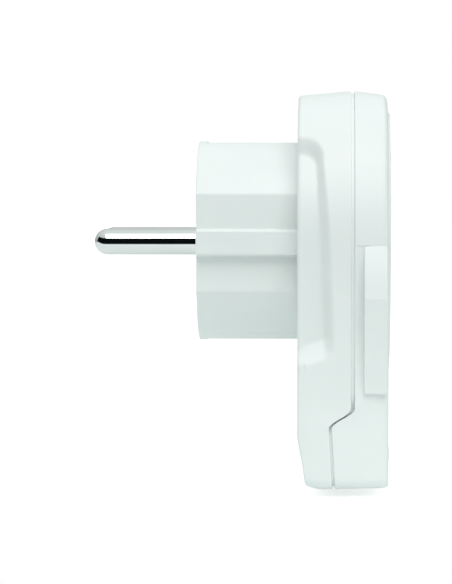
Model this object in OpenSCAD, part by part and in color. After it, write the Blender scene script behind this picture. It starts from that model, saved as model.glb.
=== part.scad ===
// Plug-in power meter: a flat two-shell housing with a round earthed plug on its back
// and a socket, a display and three keys on its front.
// The origin is the centre of the plug's end face. The pins point along +Y, the front
// faces -Y and Z is up. Most shapes are drawn as seen from the front, where depth is
// the distance from the plug's end face towards the front.

/* [Plug] */
// Length of the plug body, from its end face to the housing
plug_len = 18.5; // [17:0.5:22]
// Radius of the plug body's round arcs
plug_r = 18.5; // [18:0.1:19]
// Half width of the plug body across its side flats
flat_x = 16.2; // [15.8:0.1:16.6]
// Half height of the side flats
flat_z = 8.9; // [8:0.1:10]
// Height up to which the slanted facets run
facet_z = 12.5; // [11.5:0.1:13]
// Height of the guide rib on each side flat
rib_h = 4.7; // [4:0.1:5]
// How far the guide rib reaches from the centre
rib_x = 18.3; // [17.8:0.1:18.4]
// Radius of a contact pin
pin_r = 2.4; // [2.3:0.05:2.45]
// Length of a contact pin
pin_len = 19; // [18:0.5:19]
// Distance between the two pins
pin_gap = 19; // [18.9:0.1:19.1]

/* [Housing] */
// Depth of the housing, front to back
house_d = 16.4; // [16.4:0.2:18]
// Radius of the round top at the seam, which is also half the width
seam_r = 27.9; // [27.5:0.1:28.5]
// Radius of the round top at the rear face
rear_r = 27.0; // [26.6:0.1:27.2]
// Radius of the round top near the front face
front_r = 27.3; // [26.9:0.1:27.5]
// How far the housing reaches below the plug's axis
low_z = 43.9; // [43.5:0.1:45]
// Wall thickness of the shells
wall = 1.8; // [1.6:0.1:1.9]
// Distance from the rear face to the seam
seam_v = 10.1; // [9.8:0.1:10.4]
// Distance from the rear face to the seam below its jog
low_seam_v = 6.3; // [6:0.1:6.8]
// Width of the shadow groove between the shells
seam_gap = 0.7; // [0.4:0.1:0.8]
// Depth of the finger scoops
scoop_d = 2.4; // [1.8:0.1:2.6]

/* [Socket] */
// Inner radius of the socket recess
cup_r = 19.5; // [19.3:0.1:19.7]
// Thickness of the socket recess's floor
cup_floor_t = 1.7; // [1.5:0.1:1.8]
// Radius of the raised collar
collar_r = 24; // [23.5:0.1:24]
// How far the collar stands in front of the housing
collar_proud = 0.4; // [0.2:0.1:0.5]
// Radius of a pin entry hole
entry_r = 2.75; // [2.7:0.05:2.8]
// Angle that the shutter turns through to open
shutter_turn = 36; // [35:1:38]

/* [Front] */
// Width of the display window
window_w = 30; // [28:1:30]
// Height of the display window
window_h = 9.6; // [8:0.2:9.6]
// Height of the display window's centre
window_z = -30.2; // [-30.4:0.1:-30]
// Width of a key's cap
key_w = 8.4; // [7:0.2:8.4]
// Height of a key's cap
key_h = 3; // [2.6:0.1:3]
// Distance between the keys
key_gap = 12; // [11:0.5:12]
// Height of the keys' centres
key_z = -38.4; // [-38.4:0.1:-38.3]
// How far a key's cap stands in front of the housing
key_proud = 0.2; // [0.1:0.1:0.6]
// Height of the side grips
grip_h = 26.3; // [24:0.5:26.5]
// How far a side grip stands out at its crest
grip_proud = 2.4; // [1:0.1:2.6]

/* [Hidden] */
$fn = 96;

shell_white = [0.90, 0.93, 0.92];
socket_white = [0.93, 0.95, 0.94];
nickel = [0.80, 0.80, 0.79];
brass = [0.80, 0.66, 0.36];
steel = [0.66, 0.67, 0.69];
board_green = [0.10, 0.36, 0.20];
chip_black = [0.10, 0.10, 0.11];

// Depths, from the plug's end face
rear_d = plug_len;
front_d = rear_d + house_d;
seam_d = rear_d + seam_v;
inner_rear_d = rear_d + wall;
inner_front_d = front_d - wall;
edge_round = 0.6;

// Plug body
plug_end_t = 2.4;
plug_cavity_r = plug_r - 1.8;
plug_cavity_x = flat_x - 1.6;
plug_cavity_z = 15.0;
flange_r = plug_r + 1.9;
flange_t = 0.95;
pin_x = pin_gap / 2;
pin_neck_r = 2.0;
pin_head_r = 3.4;
pin_head_t = 1.0;
pin_run = 0.05;
earth_slot_w = 6.2;
earth_slot_z = 16.6;

// Earth straps
strap_w = 5;
strap_t = 0.6;
strap_z = earth_slot_z + 0.1;

// Contacts
contact_r = 3.2;
contact_bore_r = 2.5;
contact_from = plug_end_t + 0.6;
contact_to = 18.3;
washer_t = 0.8;
holder_from = 14.0;
holder_to = 18.6;
pivot_r = 2.0;
shutter_r = 13.2;
shutter_from = 18.8;
shutter_to = 20.1;
shutter_hole_r = 2.8;
spring_pocket_r = 4.2;
lug_at = 11.8;
lug_r = 1.0;

// Socket cup
cup_from = inner_rear_d + 0.1;
cup_floor_d = cup_from + cup_floor_t;
cup_wall_r = cup_r + 1.8;
collar_t = 1.0;
collar_from = front_d + collar_proud - collar_t;
groove_t = 0.8;

// Screws, as [x, z] seen from the front. The case screws also give how deep the head sinks
boss_r = 1.95;
case_boss_at = 23.4;
case_boss_turn = 62;
case_screw_spots = [for (s = [-1, 1]) each
    [[s * case_boss_at * cos(case_boss_turn), case_boss_at * sin(case_boss_turn), 1.3],
     [s * 23, -38, 2.3]]];
case_screw_r = 1.1;
case_head_r = 1.9;
case_head_t = 1.1;
boss_meet_d = seam_d + 0.5;
board_screw_spots = [[18.8, -26], [-18.8, -26], [18.8, -39.6], [-18.8, -39.6]];

// Boards
main_board_from = inner_rear_d + 1.6;
board_t = 1.2;
main_top_d = main_board_from + board_t;
display_board_from = 27.3;
display_top_d = display_board_from + board_t;
lcd_glass_from = 31.2;
lcd_glass_t = 1.6;
lcd_frame_to = inner_front_d - 0.1;
window_t = 1.0;
window_sink = 1.1;

// Keys
key_top_d = front_d + key_proud;
flange_grow = 0.8;
key_flange_from = inner_front_d - 1.1;
switch_h = 2.0;
plunger_to = display_top_d + switch_h + 0.6;

// Side grips
grip_top_z = -0.4;
grip_from = rear_d + 12.0;
grip_to = rear_d + 16.1;
pocket_t = 0.8;

// Turns a shape drawn as seen from the front, with its depth along Z, into the part's frame
module front_view() { rotate([90, 0, 0]) children(); }

// Extrudes a [depth, height] outline across the part
module across(width) { rotate([0, -90, 0]) linear_extrude(width, center = true) children(); }

// A block from its lowest to its highest [x, height, depth] corner
module block(low, high) { translate(low) cube(high - low); }

// A rounded bar with full ends, seen from the front
module pill(w, h) {
    square([w - h, h], center = true);
    for (s = [-1, 1]) translate([s * (w - h) / 2, 0]) circle(h / 2);
}

// Half of the housing's outline in [radius, depth], drawn in by inset
function half_outline(inset) = [
    [0, rear_d],
    [rear_r - edge_round - inset, rear_d],
    [rear_r - inset, rear_d + edge_round],
    [seam_r - inset, seam_d],
    [front_r - inset, front_d - 1.2],
    [front_r - 0.7 - inset, front_d - 0.4],
    [front_r - 3.3 - inset, front_d],
    [0, front_d]
];

// The same for the space inside the shells
cavity_half = [
    [0, inner_rear_d],
    [rear_r + 0.1 - wall, inner_rear_d],
    [seam_r - wall, seam_d],
    [front_r - wall, inner_front_d],
    [0, inner_front_d]
];

// The underside in [depth, height], drawn in by inset
function under_outline(inset) = [
    [rear_d - 1, 40],
    [rear_d - 1, -35.5 + inset],
    [rear_d, -35.5 + inset],
    [rear_d + 1.4, 1.6 + inset - low_z],
    [rear_d + 2.7, 0.4 + inset - low_z],
    [rear_d + 5, inset - low_z],
    [front_d - 1.4, 0.25 + inset - low_z],
    [front_d - 0.4, 0.9 + inset - low_z],
    [front_d, 2.9 + inset - low_z],
    [front_d + 1, 2.9 + inset - low_z],
    [front_d + 1, 40]
];

cavity_under = [
    [rear_d, 40],
    [rear_d, -35.1],
    [inner_rear_d, -35.1],
    [inner_rear_d + 1.4, 2 - low_z],
    [inner_front_d + 1, 2.05 - low_z],
    [inner_front_d + 1, 40]
];

function both_sides(half) =
    concat(half, [for (i = [len(half) - 2 : -1 : 1]) [-half[i].x, half[i].y]]);

// A round-topped body from a half outline: turned above the axis, straight below it
module tombstone(half, under) {
    intersection() {
        union() {
            rotate_extrude(angle = 180, $fn = 128) polygon(half);
            rotate([90, 0, 0]) linear_extrude(low_z + 1) polygon(both_sides(half));
        }
        across(80) polygon(under);
    }
}

// What is taken off the two lower corners
module corner_cuts(r, side) {
    for (s = [-1, 1])
        translate([s * (side - r), r - low_z, rear_d - 1])
            linear_extrude(house_d + 2)
                difference() {
                    translate([s > 0 ? 0 : -r - 3, -r - 3]) square(r + 3);
                    circle(r);
                }
}

module envelope(inset = 0) {
    difference() {
        tombstone(half_outline(inset), under_outline(inset));
        corner_cuts(3, seam_r - 0.15 - inset);
    }
}

// The seam's line in [depth, height], from the top down through its jog, moved by shift
jog_top = -29.5;
jog_h = 3.5;
jog_steps = 8;
function seam_line(shift) = concat(
    [[seam_d + shift, 40]],
    [for (i = [0 : jog_steps])
        let (t = i / jog_steps)
        [seam_d + shift - (seam_v - low_seam_v) * (1 - cos(180 * t)) / 2, jog_top - jog_h * t]],
    [[rear_d + low_seam_v + 0.6 + shift, -50]]
);

// Everything behind the seam
module behind_seam(shift) {
    across(80) polygon(concat(seam_line(shift), [[rear_d - 2, -50], [rear_d - 2, 40]]));
}

// The finger scoops on both sides of the rear shell, grown for the wall behind them
module scoops(grow = 0) {
    difference() {
        across(80) polygon([
            [rear_d - 1, 19.2 + grow],
            [rear_d + 3.6, 17.4 + grow],
            [rear_d + 4.8 + grow, 14.5 + grow / 2],
            [rear_d + 7.0 + grow, -14.5],
            [rear_d + 6.4 + grow, -17.5 - grow],
            [rear_d - 1, -21.6 - grow]]);
        translate([0, 0, rear_d - 2]) linear_extrude(house_d) {
            r = rear_r - scoop_d - grow;
            circle(r);
            translate([-r, -low_z]) square([2 * r, low_z]);
        }
    }
}

lip_t = 1.05;
lip_len = 1.2;

module rear_shell() {
    color(shell_white) front_view() difference() {
        union() {
            difference() {
                union() {
                    intersection() {
                        envelope();
                        behind_seam(-seam_gap / 2);
                    }
                    intersection() {
                        envelope(lip_t);
                        behind_seam(lip_len);
                    }
                }
                difference() {
                    tombstone(cavity_half, cavity_under);
                    scoops(wall - 0.1);
                }
            }
            for (p = case_screw_spots)
                translate([p.x, p.y, rear_d + 1]) cylinder(h = boss_meet_d - rear_d - 1, r = boss_r);
            for (p = [[19, -27], [-19, -27], [12, -39.8], [-12, -39.8]])
                translate([p.x, p.y, rear_d + 1.5]) cylinder(h = main_board_from - rear_d - 1.5, r = 1.4);
        }
        scoops();
        translate([0, 0, rear_d - 1]) cylinder(h = wall + 2, r = plug_r + pin_run);
        translate([0, 0, inner_rear_d - flange_t]) cylinder(h = 1.2, r = flange_r + 0.1);
        for (p = case_screw_spots) {
            translate([p.x, p.y, rear_d - 1]) cylinder(h = house_d, r = case_screw_r + 0.15);
            translate([p.x, p.y, rear_d - 1]) cylinder(h = 1 + p.z, r = case_head_r + 0.1);
        }
    }
}

module front_shell() {
    color(shell_white) front_view() difference() {
        union() {
            difference() {
                envelope();
                behind_seam(seam_gap / 2);
                intersection() {
                    envelope(lip_t - 0.1);
                    behind_seam(lip_len + 0.2);
                }
                tombstone(cavity_half, cavity_under);
            }
            for (p = case_screw_spots)
                translate([p.x, p.y, boss_meet_d + 0.1])
                    cylinder(h = inner_front_d - boss_meet_d, r = boss_r);
            for (p = board_screw_spots)
                translate([p.x, p.y, display_top_d])
                    cylinder(h = inner_front_d - display_top_d + 0.2, r = 1.5);
        }
        translate([0, 0, seam_d]) cylinder(h = house_d, r = cup_wall_r + 0.15);
        translate([0, 0, collar_from]) cylinder(h = 5, r = collar_r + 0.1);
        for (p = case_screw_spots)
            translate([p.x, p.y, boss_meet_d]) cylinder(h = 3.6, r = case_screw_r + 0.05);
        for (p = board_screw_spots)
            translate([p.x, p.y, display_top_d - 1]) cylinder(h = 4.6, r = 0.85);
        translate([0, window_z, 0]) {
            block([-window_w / 2 - 0.1, -window_h / 2 - 0.1, front_d - window_sink],
                  [window_w / 2 + 0.1, window_h / 2 + 0.1, front_d + 1]);
            block([1 - window_w / 2, 1 - window_h / 2, seam_d],
                  [window_w / 2 - 1, window_h / 2 - 1, front_d + 1]);
        }
        for (i = [-1 : 1])
            translate([i * key_gap, key_z, seam_d]) linear_extrude(house_d) pill(key_w + 0.4, key_h + 0.4);
        for (s = [-1, 1]) {
            translate([s * (seam_r - pocket_t + 5), grip_top_z - grip_h / 2, grip_from + 2])
                cube([10, grip_h + 0.2, 4.4], center = true);
            translate([s * 26, grip_top_z - grip_h / 2, grip_from + 1.1])
                cube([4, 12.2, 1.8], center = true);
        }
    }
}

// A grip: a wedge with a bulging upper flank and a long lower one, and a tongue held in the wall
module grip(side) {
    seat_x = seam_r - pocket_t + 0.05;
    crest_z = grip_top_z - 9.3;
    crest_x = seam_r + grip_proud;
    foot_z = grip_top_z - grip_h;
    steps = 6;
    upper = [for (i = [0 : steps]) let (t = i / steps)
        [27.6 + (crest_x - 27.6) * t + 0.35 * sin(180 * t), grip_top_z + (crest_z - grip_top_z) * t]];
    color(shell_white) front_view() mirror([side < 0 ? 1 : 0, 0, 0]) {
        translate([0, 0, grip_from]) linear_extrude(grip_to - grip_from)
            polygon(concat([[seat_x, grip_top_z]], upper,
                           [[seam_r + 0.3, foot_z + 0.1], [seam_r, foot_z], [seat_x, foot_z]]));
        block([24.5, grip_top_z - grip_h / 2 - 6, grip_from + 0.3],
              [seat_x + 0.1, grip_top_z - grip_h / 2 + 6, grip_from + 1.9]);
        for (z = [-6.6, 4.6])
            block([24.5, grip_top_z - grip_h / 2 + z, grip_from + 0.3],
                  [25.2, grip_top_z - grip_h / 2 + z + 2, grip_from + 1.9]);
    }
}

module plug_outline() {
    intersection() {
        circle(plug_r);
        polygon([[flat_x, -flat_z], [flat_x, flat_z],
                 [sqrt(pow(plug_r, 2) - pow(facet_z, 2)), facet_z], [8, plug_r + 1], [-8, plug_r + 1],
                 [-sqrt(pow(plug_r, 2) - pow(facet_z, 2)), facet_z],
                 [-flat_x, flat_z], [-flat_x, -flat_z],
                 [-sqrt(pow(plug_r, 2) - pow(facet_z, 2)), -facet_z], [-8, -plug_r - 1], [8, -plug_r - 1],
                 [sqrt(pow(plug_r, 2) - pow(facet_z, 2)), -facet_z]]);
    }
    square([2 * rib_x, rib_h], center = true);
}

module plug_body() {
    color(shell_white) front_view() difference() {
        union() {
            intersection() {
                linear_extrude(inner_rear_d) plug_outline();
                rotate_extrude() polygon([[0, 0], [plug_r - 0.8, 0], [plug_r - 0.25, 0.25],
                                          [plug_r + 0.2, 1], [plug_r + 0.2, 30], [0, 30]]);
            }
            translate([0, 0, inner_rear_d - flange_t + 0.05]) cylinder(h = flange_t - 0.05, r = flange_r);
        }
        translate([0, 0, plug_end_t]) linear_extrude(30) intersection() {
            circle(plug_cavity_r);
            square([2 * plug_cavity_x, 2 * plug_cavity_z], center = true);
        }
        for (s = [-1, 1]) {
            translate([s * pin_x, 0, -1]) cylinder(h = 1.5, r = pin_r + pin_run);
            translate([s * pin_x, 0, -1]) cylinder(h = 9, r = pin_neck_r + pin_run);
            translate([s * pin_x, 0, plug_end_t - pin_head_t]) cylinder(h = 9, r = pin_head_r + pin_run);
            block([-earth_slot_w / 2, s > 0 ? earth_slot_z : -22, 1.5],
                  [earth_slot_w / 2, s > 0 ? 22 : -earth_slot_z, 30]);
            block([-strap_w / 2 - 0.1, s > 0 ? 14 : -17, contact_from + 0.1],
                  [strap_w / 2 + 0.1, s > 0 ? 17 : -14, contact_from + 1.1]);
        }
    }
}

module socket_cup() {
    lip = 0.3;
    color(socket_white) front_view() difference() {
        union() {
            difference() {
                union() {
                    translate([0, 0, cup_from]) cylinder(h = collar_from - cup_from + 0.1, r = cup_wall_r);
                    rotate_extrude() polygon([[cup_r - 1, collar_from], [collar_r, collar_from],
                        [collar_r, collar_from + collar_t - lip], [collar_r - lip, collar_from + collar_t],
                        [cup_r - 1, collar_from + collar_t]]);
                }
                translate([0, 0, cup_floor_d]) cylinder(h = 30, r = cup_r);
                rotate_extrude() polygon([[cup_r - 1, front_d - 0.6], [cup_r - 0.01, front_d - 0.6],
                    [cup_r + 1, front_d + collar_proud + 0.01], [cup_r - 1, front_d + collar_proud + 0.01]]);
            }
            for (s = [-1, 1], t = [-1, 1])
                translate([s > 0 ? 17 : -20, t > 0 ? 3.1 : -8.3, cup_floor_d - 0.1]) cube([3, 5.2, 10]);
        }
        for (s = [-1, 1]) {
            translate([s * pin_x, 0, cup_from - 1]) cylinder(h = 9, r = entry_r);
            translate([s * pin_x, 0, cup_floor_d - 0.4])
                cylinder(h = 0.41, r1 = entry_r, r2 = entry_r + 0.7);
            block([-strap_w / 2 - 0.2, s > 0 ? strap_z - 0.2 : -strap_z - strap_t - 0.2, cup_from - 1],
                  [strap_w / 2 + 0.2, s > 0 ? strap_z + strap_t + 0.2 : -strap_z + 0.2, cup_floor_d + 1]);
        }
        block([-8.4, -30, cup_from - 1], [8.4, -13.2, cup_from + groove_t]);
    }
}

module contact_pin(side) {
    tip = pin_r;
    color(nickel) front_view() translate([side * pin_x, 0, 0]) {
        translate([0, 0, -pin_len + tip]) cylinder(h = pin_len - tip, r = pin_r);
        translate([0, 0, -pin_len + tip]) sphere(r = pin_r);
        translate([0, 0, -0.5]) cylinder(h = plug_end_t - 0.1, r = pin_neck_r);
        translate([0, 0, plug_end_t - pin_head_t]) cylinder(h = pin_head_t, r = pin_head_r);
    }
}

// A rolled tube that grips the appliance's pin, split into springy leaves at its mouth
module pin_contact(side, from) {
    color(brass) front_view() translate([side * pin_x, 0, 0]) difference() {
        translate([0, 0, from]) cylinder(h = contact_to - from, r = contact_r);
        translate([0, 0, from - 1]) cylinder(h = 30, r = contact_bore_r);
        for (a = [0, 90])
            rotate([0, 0, a]) translate([-5, -0.35, from + 5]) cube([10, 0.7, 30]);
        translate([0, 0, contact_to - 0.6])
            cylinder(h = 0.61, r1 = contact_bore_r, r2 = contact_bore_r + 0.45);
    }
}

module contact_washer() {
    color([0.85, 0.80, 0.66]) front_view() translate([pin_x, 0, contact_from]) difference() {
        cylinder(h = washer_t, r = contact_r + 0.3);
        translate([0, 0, -1]) cylinder(h = 5, r = contact_bore_r);
    }
}

module contact_holder() {
    color([0.86, 0.86, 0.83]) front_view() difference() {
        translate([0, 0, holder_from]) linear_extrude(holder_to - holder_from) intersection() {
            circle(plug_cavity_r - 0.2);
            square([2 * plug_cavity_x - 0.4, 2 * plug_cavity_z - 0.4], center = true);
        }
        difference() {
            translate([0, 0, holder_to - 3]) cylinder(h = 5, r = spring_pocket_r);
            cylinder(h = 40, r = pivot_r);
        }
        for (s = [-1, 1]) translate([s * pin_x, 0, holder_from - 1]) cylinder(h = 9, r = contact_r + 0.15);
        block([-8.5, -20, holder_from - 1], [8.5, -13.2, holder_to + 1]);
        translate([0, 0, holder_to - 1.2]) rotate([0, 0, 46]) rotate_extrude(angle = 52)
            translate([lug_at - lug_r - 0.2, 0]) square([2 * lug_r + 0.4, 5]);
    }
    color([0.86, 0.86, 0.83]) front_view()
        translate([0, 0, holder_to - 0.5]) cylinder(h = cup_from - 0.1 - holder_to + 0.5, r = pivot_r);
}

module shutter() {
    color([0.78, 0.80, 0.80]) front_view() {
        difference() {
            translate([0, 0, shutter_from]) cylinder(h = shutter_to - shutter_from, r = shutter_r);
            translate([0, 0, shutter_from - 1]) cylinder(h = 5, r = pivot_r + 0.06);
            for (s = [-1, 1])
                rotate([0, 0, shutter_turn]) translate([s * pin_x, 0, shutter_from - 1])
                    cylinder(h = 5, r = shutter_hole_r);
            rotate([0, 0, 250]) translate([3.1, 0, shutter_from - 1]) cylinder(h = 5, r = 0.4);
        }
        translate([0, lug_at, holder_to - 1]) cylinder(h = shutter_from - holder_to + 1.5, r = lug_r);
    }
}

// The points of a coil of the given radius, with a straight leg at its end
spring_turns = 3;
spring_ring = 20;
spring_mean_r = 3.1;
spring_wire_r = 0.25;
spring_from = holder_to - 2.6;
spring_pitch = 0.62;
function spring_points() = concat(
    [for (i = [0 : spring_turns * spring_ring])
        let (a = 250 + 360 * i / spring_ring)
        [spring_mean_r * cos(a), spring_mean_r * sin(a), spring_from + spring_pitch * i / spring_ring]],
    [for (d = [spring_from + spring_pitch * spring_turns + 0.5, shutter_to - 0.4])
        [spring_mean_r * cos(250), spring_mean_r * sin(250), d]]
);

// A round wire through the given points
module wire(points, r, sides = 8) {
    n = len(points);
    function way(i) = let (d = points[min(i + 1, n - 1)] - points[max(i - 1, 0)]) d / norm(d);
    function side_of(d) = let (c = cross(d, abs(d.z) > 0.9 ? [1, 0, 0] : [0, 0, 1])) c / norm(c);
    rings = [for (i = [0 : n - 1]) let (d = way(i), u = side_of(d), v = cross(d, u))
        for (k = [0 : sides - 1]) points[i] + r * (u * cos(360 * k / sides) + v * sin(360 * k / sides))];
    walls = [for (i = [0 : n - 2], k = [0 : sides - 1])
        let (a = i * sides, b = a + sides, m = (k + 1) % sides) [a + k, b + k, b + m, a + m]];
    ends = [[for (k = [0 : sides - 1]) k], [for (k = [sides - 1 : -1 : 0]) (n - 1) * sides + k]];
    polyhedron(points = rings, faces = concat(walls, ends));
}

module shutter_spring() {
    color(steel) front_view() wire(spring_points(), spring_wire_r);
}

// One strap is the plug's earth contact at its rear end and the socket's earth spring at its front
module earth_strap(side) {
    z = strap_z;
    t = strap_t;
    tip_d = front_d - 3.5;
    color(nickel) front_view() mirror([0, side < 0 ? 1 : 0, 0]) across(strap_w) polygon([
        [1.8, z], [3.2, z + 0.9], [9, z + 0.9], [12, z], [cup_floor_d + 0.5, z], [tip_d - 4, z - 0.7],
        [tip_d, z + 1.5], [tip_d, z + 1.5 + t], [tip_d - 4, z + t - 0.7], [cup_floor_d + 0.5, z + t],
        [12, z + t], [9, z + 0.9 + t], [3, z + 0.9 + t], [1.8, z + t]]);
}

module earth_link() {
    color(nickel) front_view()
        block([-2.4, 0.05 - strap_z, contact_from + 0.3], [2.4, strap_z - 0.05, contact_from + 0.9]);
}

strip_w = 2.2;
line_strip_x = -6;
neutral_out_x = 4.4;
neutral_in_x = 7;
strip_back = cup_from + 0.1;
strip_front = strip_back + 0.6;
strip_leg_z = -14.3;

// The part of each supply strip that runs from the plug's cavity to the main board
module strip_run(x, from) {
    block([x - strip_w / 2, strip_leg_z, from], [x + strip_w / 2, strip_leg_z + 0.6, strip_front]);
    block([x - strip_w / 2, -26.4, strip_back], [x + strip_w / 2, strip_leg_z + 0.6, strip_front]);
    block([x - 0.6, -26.4, strip_back], [x + 0.6, -25.2, main_board_from]);
}

// The foot that lies on a pin's head
module strip_foot(side) {
    block([side > 0 ? 7 : -11, -11.5, plug_end_t], [side > 0 ? 11 : -7, 1.5, contact_from]);
    block([side > 0 ? 4.5 : -8, strip_leg_z, plug_end_t], [side > 0 ? 8 : -4.5, -9, contact_from]);
}

module line_strip() {
    color(brass) front_view() {
        strip_foot(-1);
        strip_run(line_strip_x, plug_end_t);
    }
}

module neutral_in_strip() {
    color(brass) front_view() {
        strip_foot(1);
        strip_run(neutral_in_x, plug_end_t);
    }
}

module neutral_out_strip() {
    arm_from = contact_from + washer_t + 1.2;
    color(brass) front_view() {
        strip_run(neutral_out_x, arm_from);
        block([3.4, strip_leg_z, arm_from], [4, -4, arm_from + 3]);
        block([3.4, -4.6, arm_from], [pin_x, -4, arm_from + 3]);
        difference() {
            block([pin_x - 1.5, -4.6, arm_from], [pin_x + 1.5, -2.5, arm_from + 3]);
            translate([pin_x, 0, 0]) cylinder(h = 30, r = contact_r);
        }
    }
}

module main_board() {
    color(board_green) front_view() difference() {
        block([-24.2, -41, main_board_from], [24.2, -24.2, main_top_d]);
        for (s = [-1, 1]) translate([s * 23, -38, 0]) cylinder(h = 40, r = 2.6);
    }
}

// A flat chip with a row of legs along two sides
module chip(x, z, w, h, t, legs, base, up) {
    translate([x, z, base]) mirror([0, 0, up ? 0 : 1]) {
        block([-w / 2, -h / 2, 0.15], [w / 2, h / 2, t]);
        for (i = [0 : legs - 1], s = [-1, 1])
            translate([(i - (legs - 1) / 2) * w / legs, s * (h / 2 + 0.45), t / 4])
                cube([0.4, 1.1, t / 2], center = true);
    }
}

module metering_chip() {
    color(chip_black) front_view() chip(5.6, -33.8, 8.2, 4.4, 1.8, 8, main_top_d, true);
}

module processor_chip() {
    color(chip_black) front_view() chip(-1, -33.5, 7, 6, 1.5, 9, display_board_from, false);
}

module crystal() {
    color(steel) front_view()
        block([4, -35, display_board_from - 1.2], [9, -31.8, display_board_from]);
}

module x2_capacitor() {
    color([0.92, 0.76, 0.20]) front_view() translate([-14.6, -34.9, main_top_d])
        linear_extrude(4) {
            square([12.4, 5], center = true);
            square([11.8, 5.6], center = true);
        }
}

// A round can or rod lying along X on a board
module lying(x0, x1, z, r, base) {
    translate([x0, z, base + r]) rotate([0, 90, 0]) cylinder(h = x1 - x0, r = r);
}

module reservoir_capacitor() {
    color([0.14, 0.15, 0.20]) front_view() difference() {
        lying(-13.5, -5, -27.2, 1.95, main_top_d);
        translate([-12.4, -27.2, main_top_d + 1.95]) rotate([0, 90, 0]) difference() {
            cylinder(h = 0.5, r = 3);
            translate([0, 0, -1]) cylinder(h = 5, r = 1.75);
        }
    }
}

module varistor() {
    color([0.16, 0.34, 0.60]) front_view() translate([-19.5, -28.2, main_top_d])
        rotate_extrude() polygon([[0, 0.2], [3.1, 0.2], [3.5, 0.9], [3.5, 2.6], [3.1, 3.3], [0, 3.3]]);
}

module fuse_resistor() {
    color([0.70, 0.78, 0.66]) front_view() {
        lying(9.5, 16.5, -39.4, 1.3, main_top_d + 0.1);
        lying(8.4, 17.6, -39.4, 0.35, main_top_d + 1.05);
        for (x = [8.4, 17.2]) block([x, -39.6, main_top_d], [x + 0.4, -39.2, main_top_d + 1.4]);
    }
}

module rectifier() { color(chip_black) front_view() chip(-3.6, -34, 4.6, 3.6, 2.2, 2, main_top_d, true); }

module shunt() {
    color([0.72, 0.52, 0.38]) front_view() {
        block([2, -28.4, main_top_d + 1.4], [13, -26.4, main_top_d + 2.2]);
        for (x = [2, 12.2]) block([x, -28.4, main_top_d], [x + 0.8, -26.4, main_top_d + 1.5]);
    }
}

battery_spot = [16, -33.2];
module backup_battery() {
    color(steel) front_view() translate([battery_spot.x, battery_spot.y, main_top_d + 0.4])
        rotate_extrude() polygon([[0, 0], [3.9, 0], [3.9, 0.3], [4.75, 0.3], [4.75, 2.0],
                                  [4.45, 2.3], [0, 2.3]]);
}

module battery_clip() {
    color(nickel) front_view() translate([battery_spot.x, battery_spot.y, main_top_d]) {
        block([-5.6, -1.5, 2.75], [5.6, 1.5, 3.05]);
        for (s = [-1, 1]) translate([s * 5.4, 0, 1.5]) cube([0.4, 3, 3], center = true);
        block([-3.6, -1.2, 0], [3.6, 1.2, 0.35]);
    }
}

module board_link() {
    pins = 6;
    pitch = 2.54;
    color(chip_black) front_view() {
        block([-pins * pitch / 2, -40.6, main_top_d], [pins * pitch / 2, -38.2, main_top_d + 2.5]);
        for (i = [0 : pins - 1])
            translate([(i - (pins - 1) / 2) * pitch - 0.32, -39.72, main_top_d + 2])
                cube([0.64, 0.64, display_board_from - main_top_d - 2]);
    }
}

module display_board() {
    color(board_green) front_view() difference() {
        block([-20.4, -41.2, display_board_from], [20.4, -24, display_top_d]);
        for (p = board_screw_spots) translate([p.x, p.y, 20]) cylinder(h = 20, r = 1.0);
    }
}

module lcd_frame() {
    color([0.12, 0.12, 0.13]) front_view() translate([0, window_z, 0]) difference() {
        block([-17, -6, display_top_d], [17, 6, lcd_frame_to]);
        block([-14.7, -4.6, display_top_d - 1], [14.7, 4.6, lcd_frame_to + 1]);
        block([-15.6, -5.4, lcd_glass_from], [15.6, 5.4, lcd_frame_to + 1]);
    }
}

module contact_strips() {
    color([0.75, 0.76, 0.78]) front_view() translate([0, window_z, 0])
        for (s = [-1, 1]) block([-14, s * 3.6 - 0.8, display_top_d], [14, s * 3.6 + 0.8, lcd_glass_from]);
}

module lcd_glass() {
    color([0.62, 0.68, 0.58]) front_view() translate([0, window_z, 0])
        block([-15.4, -5.2, lcd_glass_from], [15.4, 5.2, lcd_glass_from + lcd_glass_t]);
}

module display_window() {
    color([0.85, 0.88, 0.88, 0.4]) front_view() translate([0, window_z, front_d - window_t])
        linear_extrude(window_t) {
            square([window_w - 1.2, window_h], center = true);
            square([window_w, window_h - 1.2], center = true);
            for (s = [-1, 1], t = [-1, 1])
                translate([s * (window_w / 2 - 0.6), t * (window_h / 2 - 0.6)]) circle(0.6, $fn = 32);
        }
}

module key_switches() {
    color([0.20, 0.20, 0.22]) front_view() for (i = [-1 : 1])
        translate([i * key_gap, key_z, display_top_d]) difference() {
            block([-3, -1.75, 0], [3, 1.75, switch_h]);
            translate([0, 0, switch_h - 1.4]) cylinder(h = 5, r = 1.3);
        }
}

// A key: its cap, the flange that keeps it in the shell and the stem that meets the switch
module key(i) {
    color([0.55, 0.58, 0.60]) front_view() translate([i * key_gap, key_z, 0]) {
        translate([0, 0, key_flange_from + 0.5])
            linear_extrude(key_top_d - key_flange_from - 0.5) pill(key_w, key_h);
        translate([0, 0, key_flange_from]) linear_extrude(1.0) pill(key_w + 2 * flange_grow, key_h + 1);
        translate([0, 0, plunger_to]) cylinder(h = key_flange_from - plunger_to + 0.3, r = 1.4);
    }
}

module plunger(i) {
    color([0.80, 0.72, 0.30]) front_view() translate([i * key_gap, key_z, display_top_d + switch_h - 0.8])
        cylinder(h = plunger_to - display_top_d - switch_h + 0.8, r = 1.2);
}

// A pan-head screw along the depth, its head towards the rear
module screw(head_d, end_d, r, head_r, head_t) {
    difference() {
        union() {
            translate([0, 0, head_d]) cylinder(h = head_t, r = head_r);
            translate([0, 0, head_d]) cylinder(h = end_d - head_d, r = r);
        }
        for (a = [45, 135])
            rotate([0, 0, a]) translate([0, 0, head_d]) cube([head_r * 1.3, 0.4, head_t], center = true);
    }
}

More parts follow.
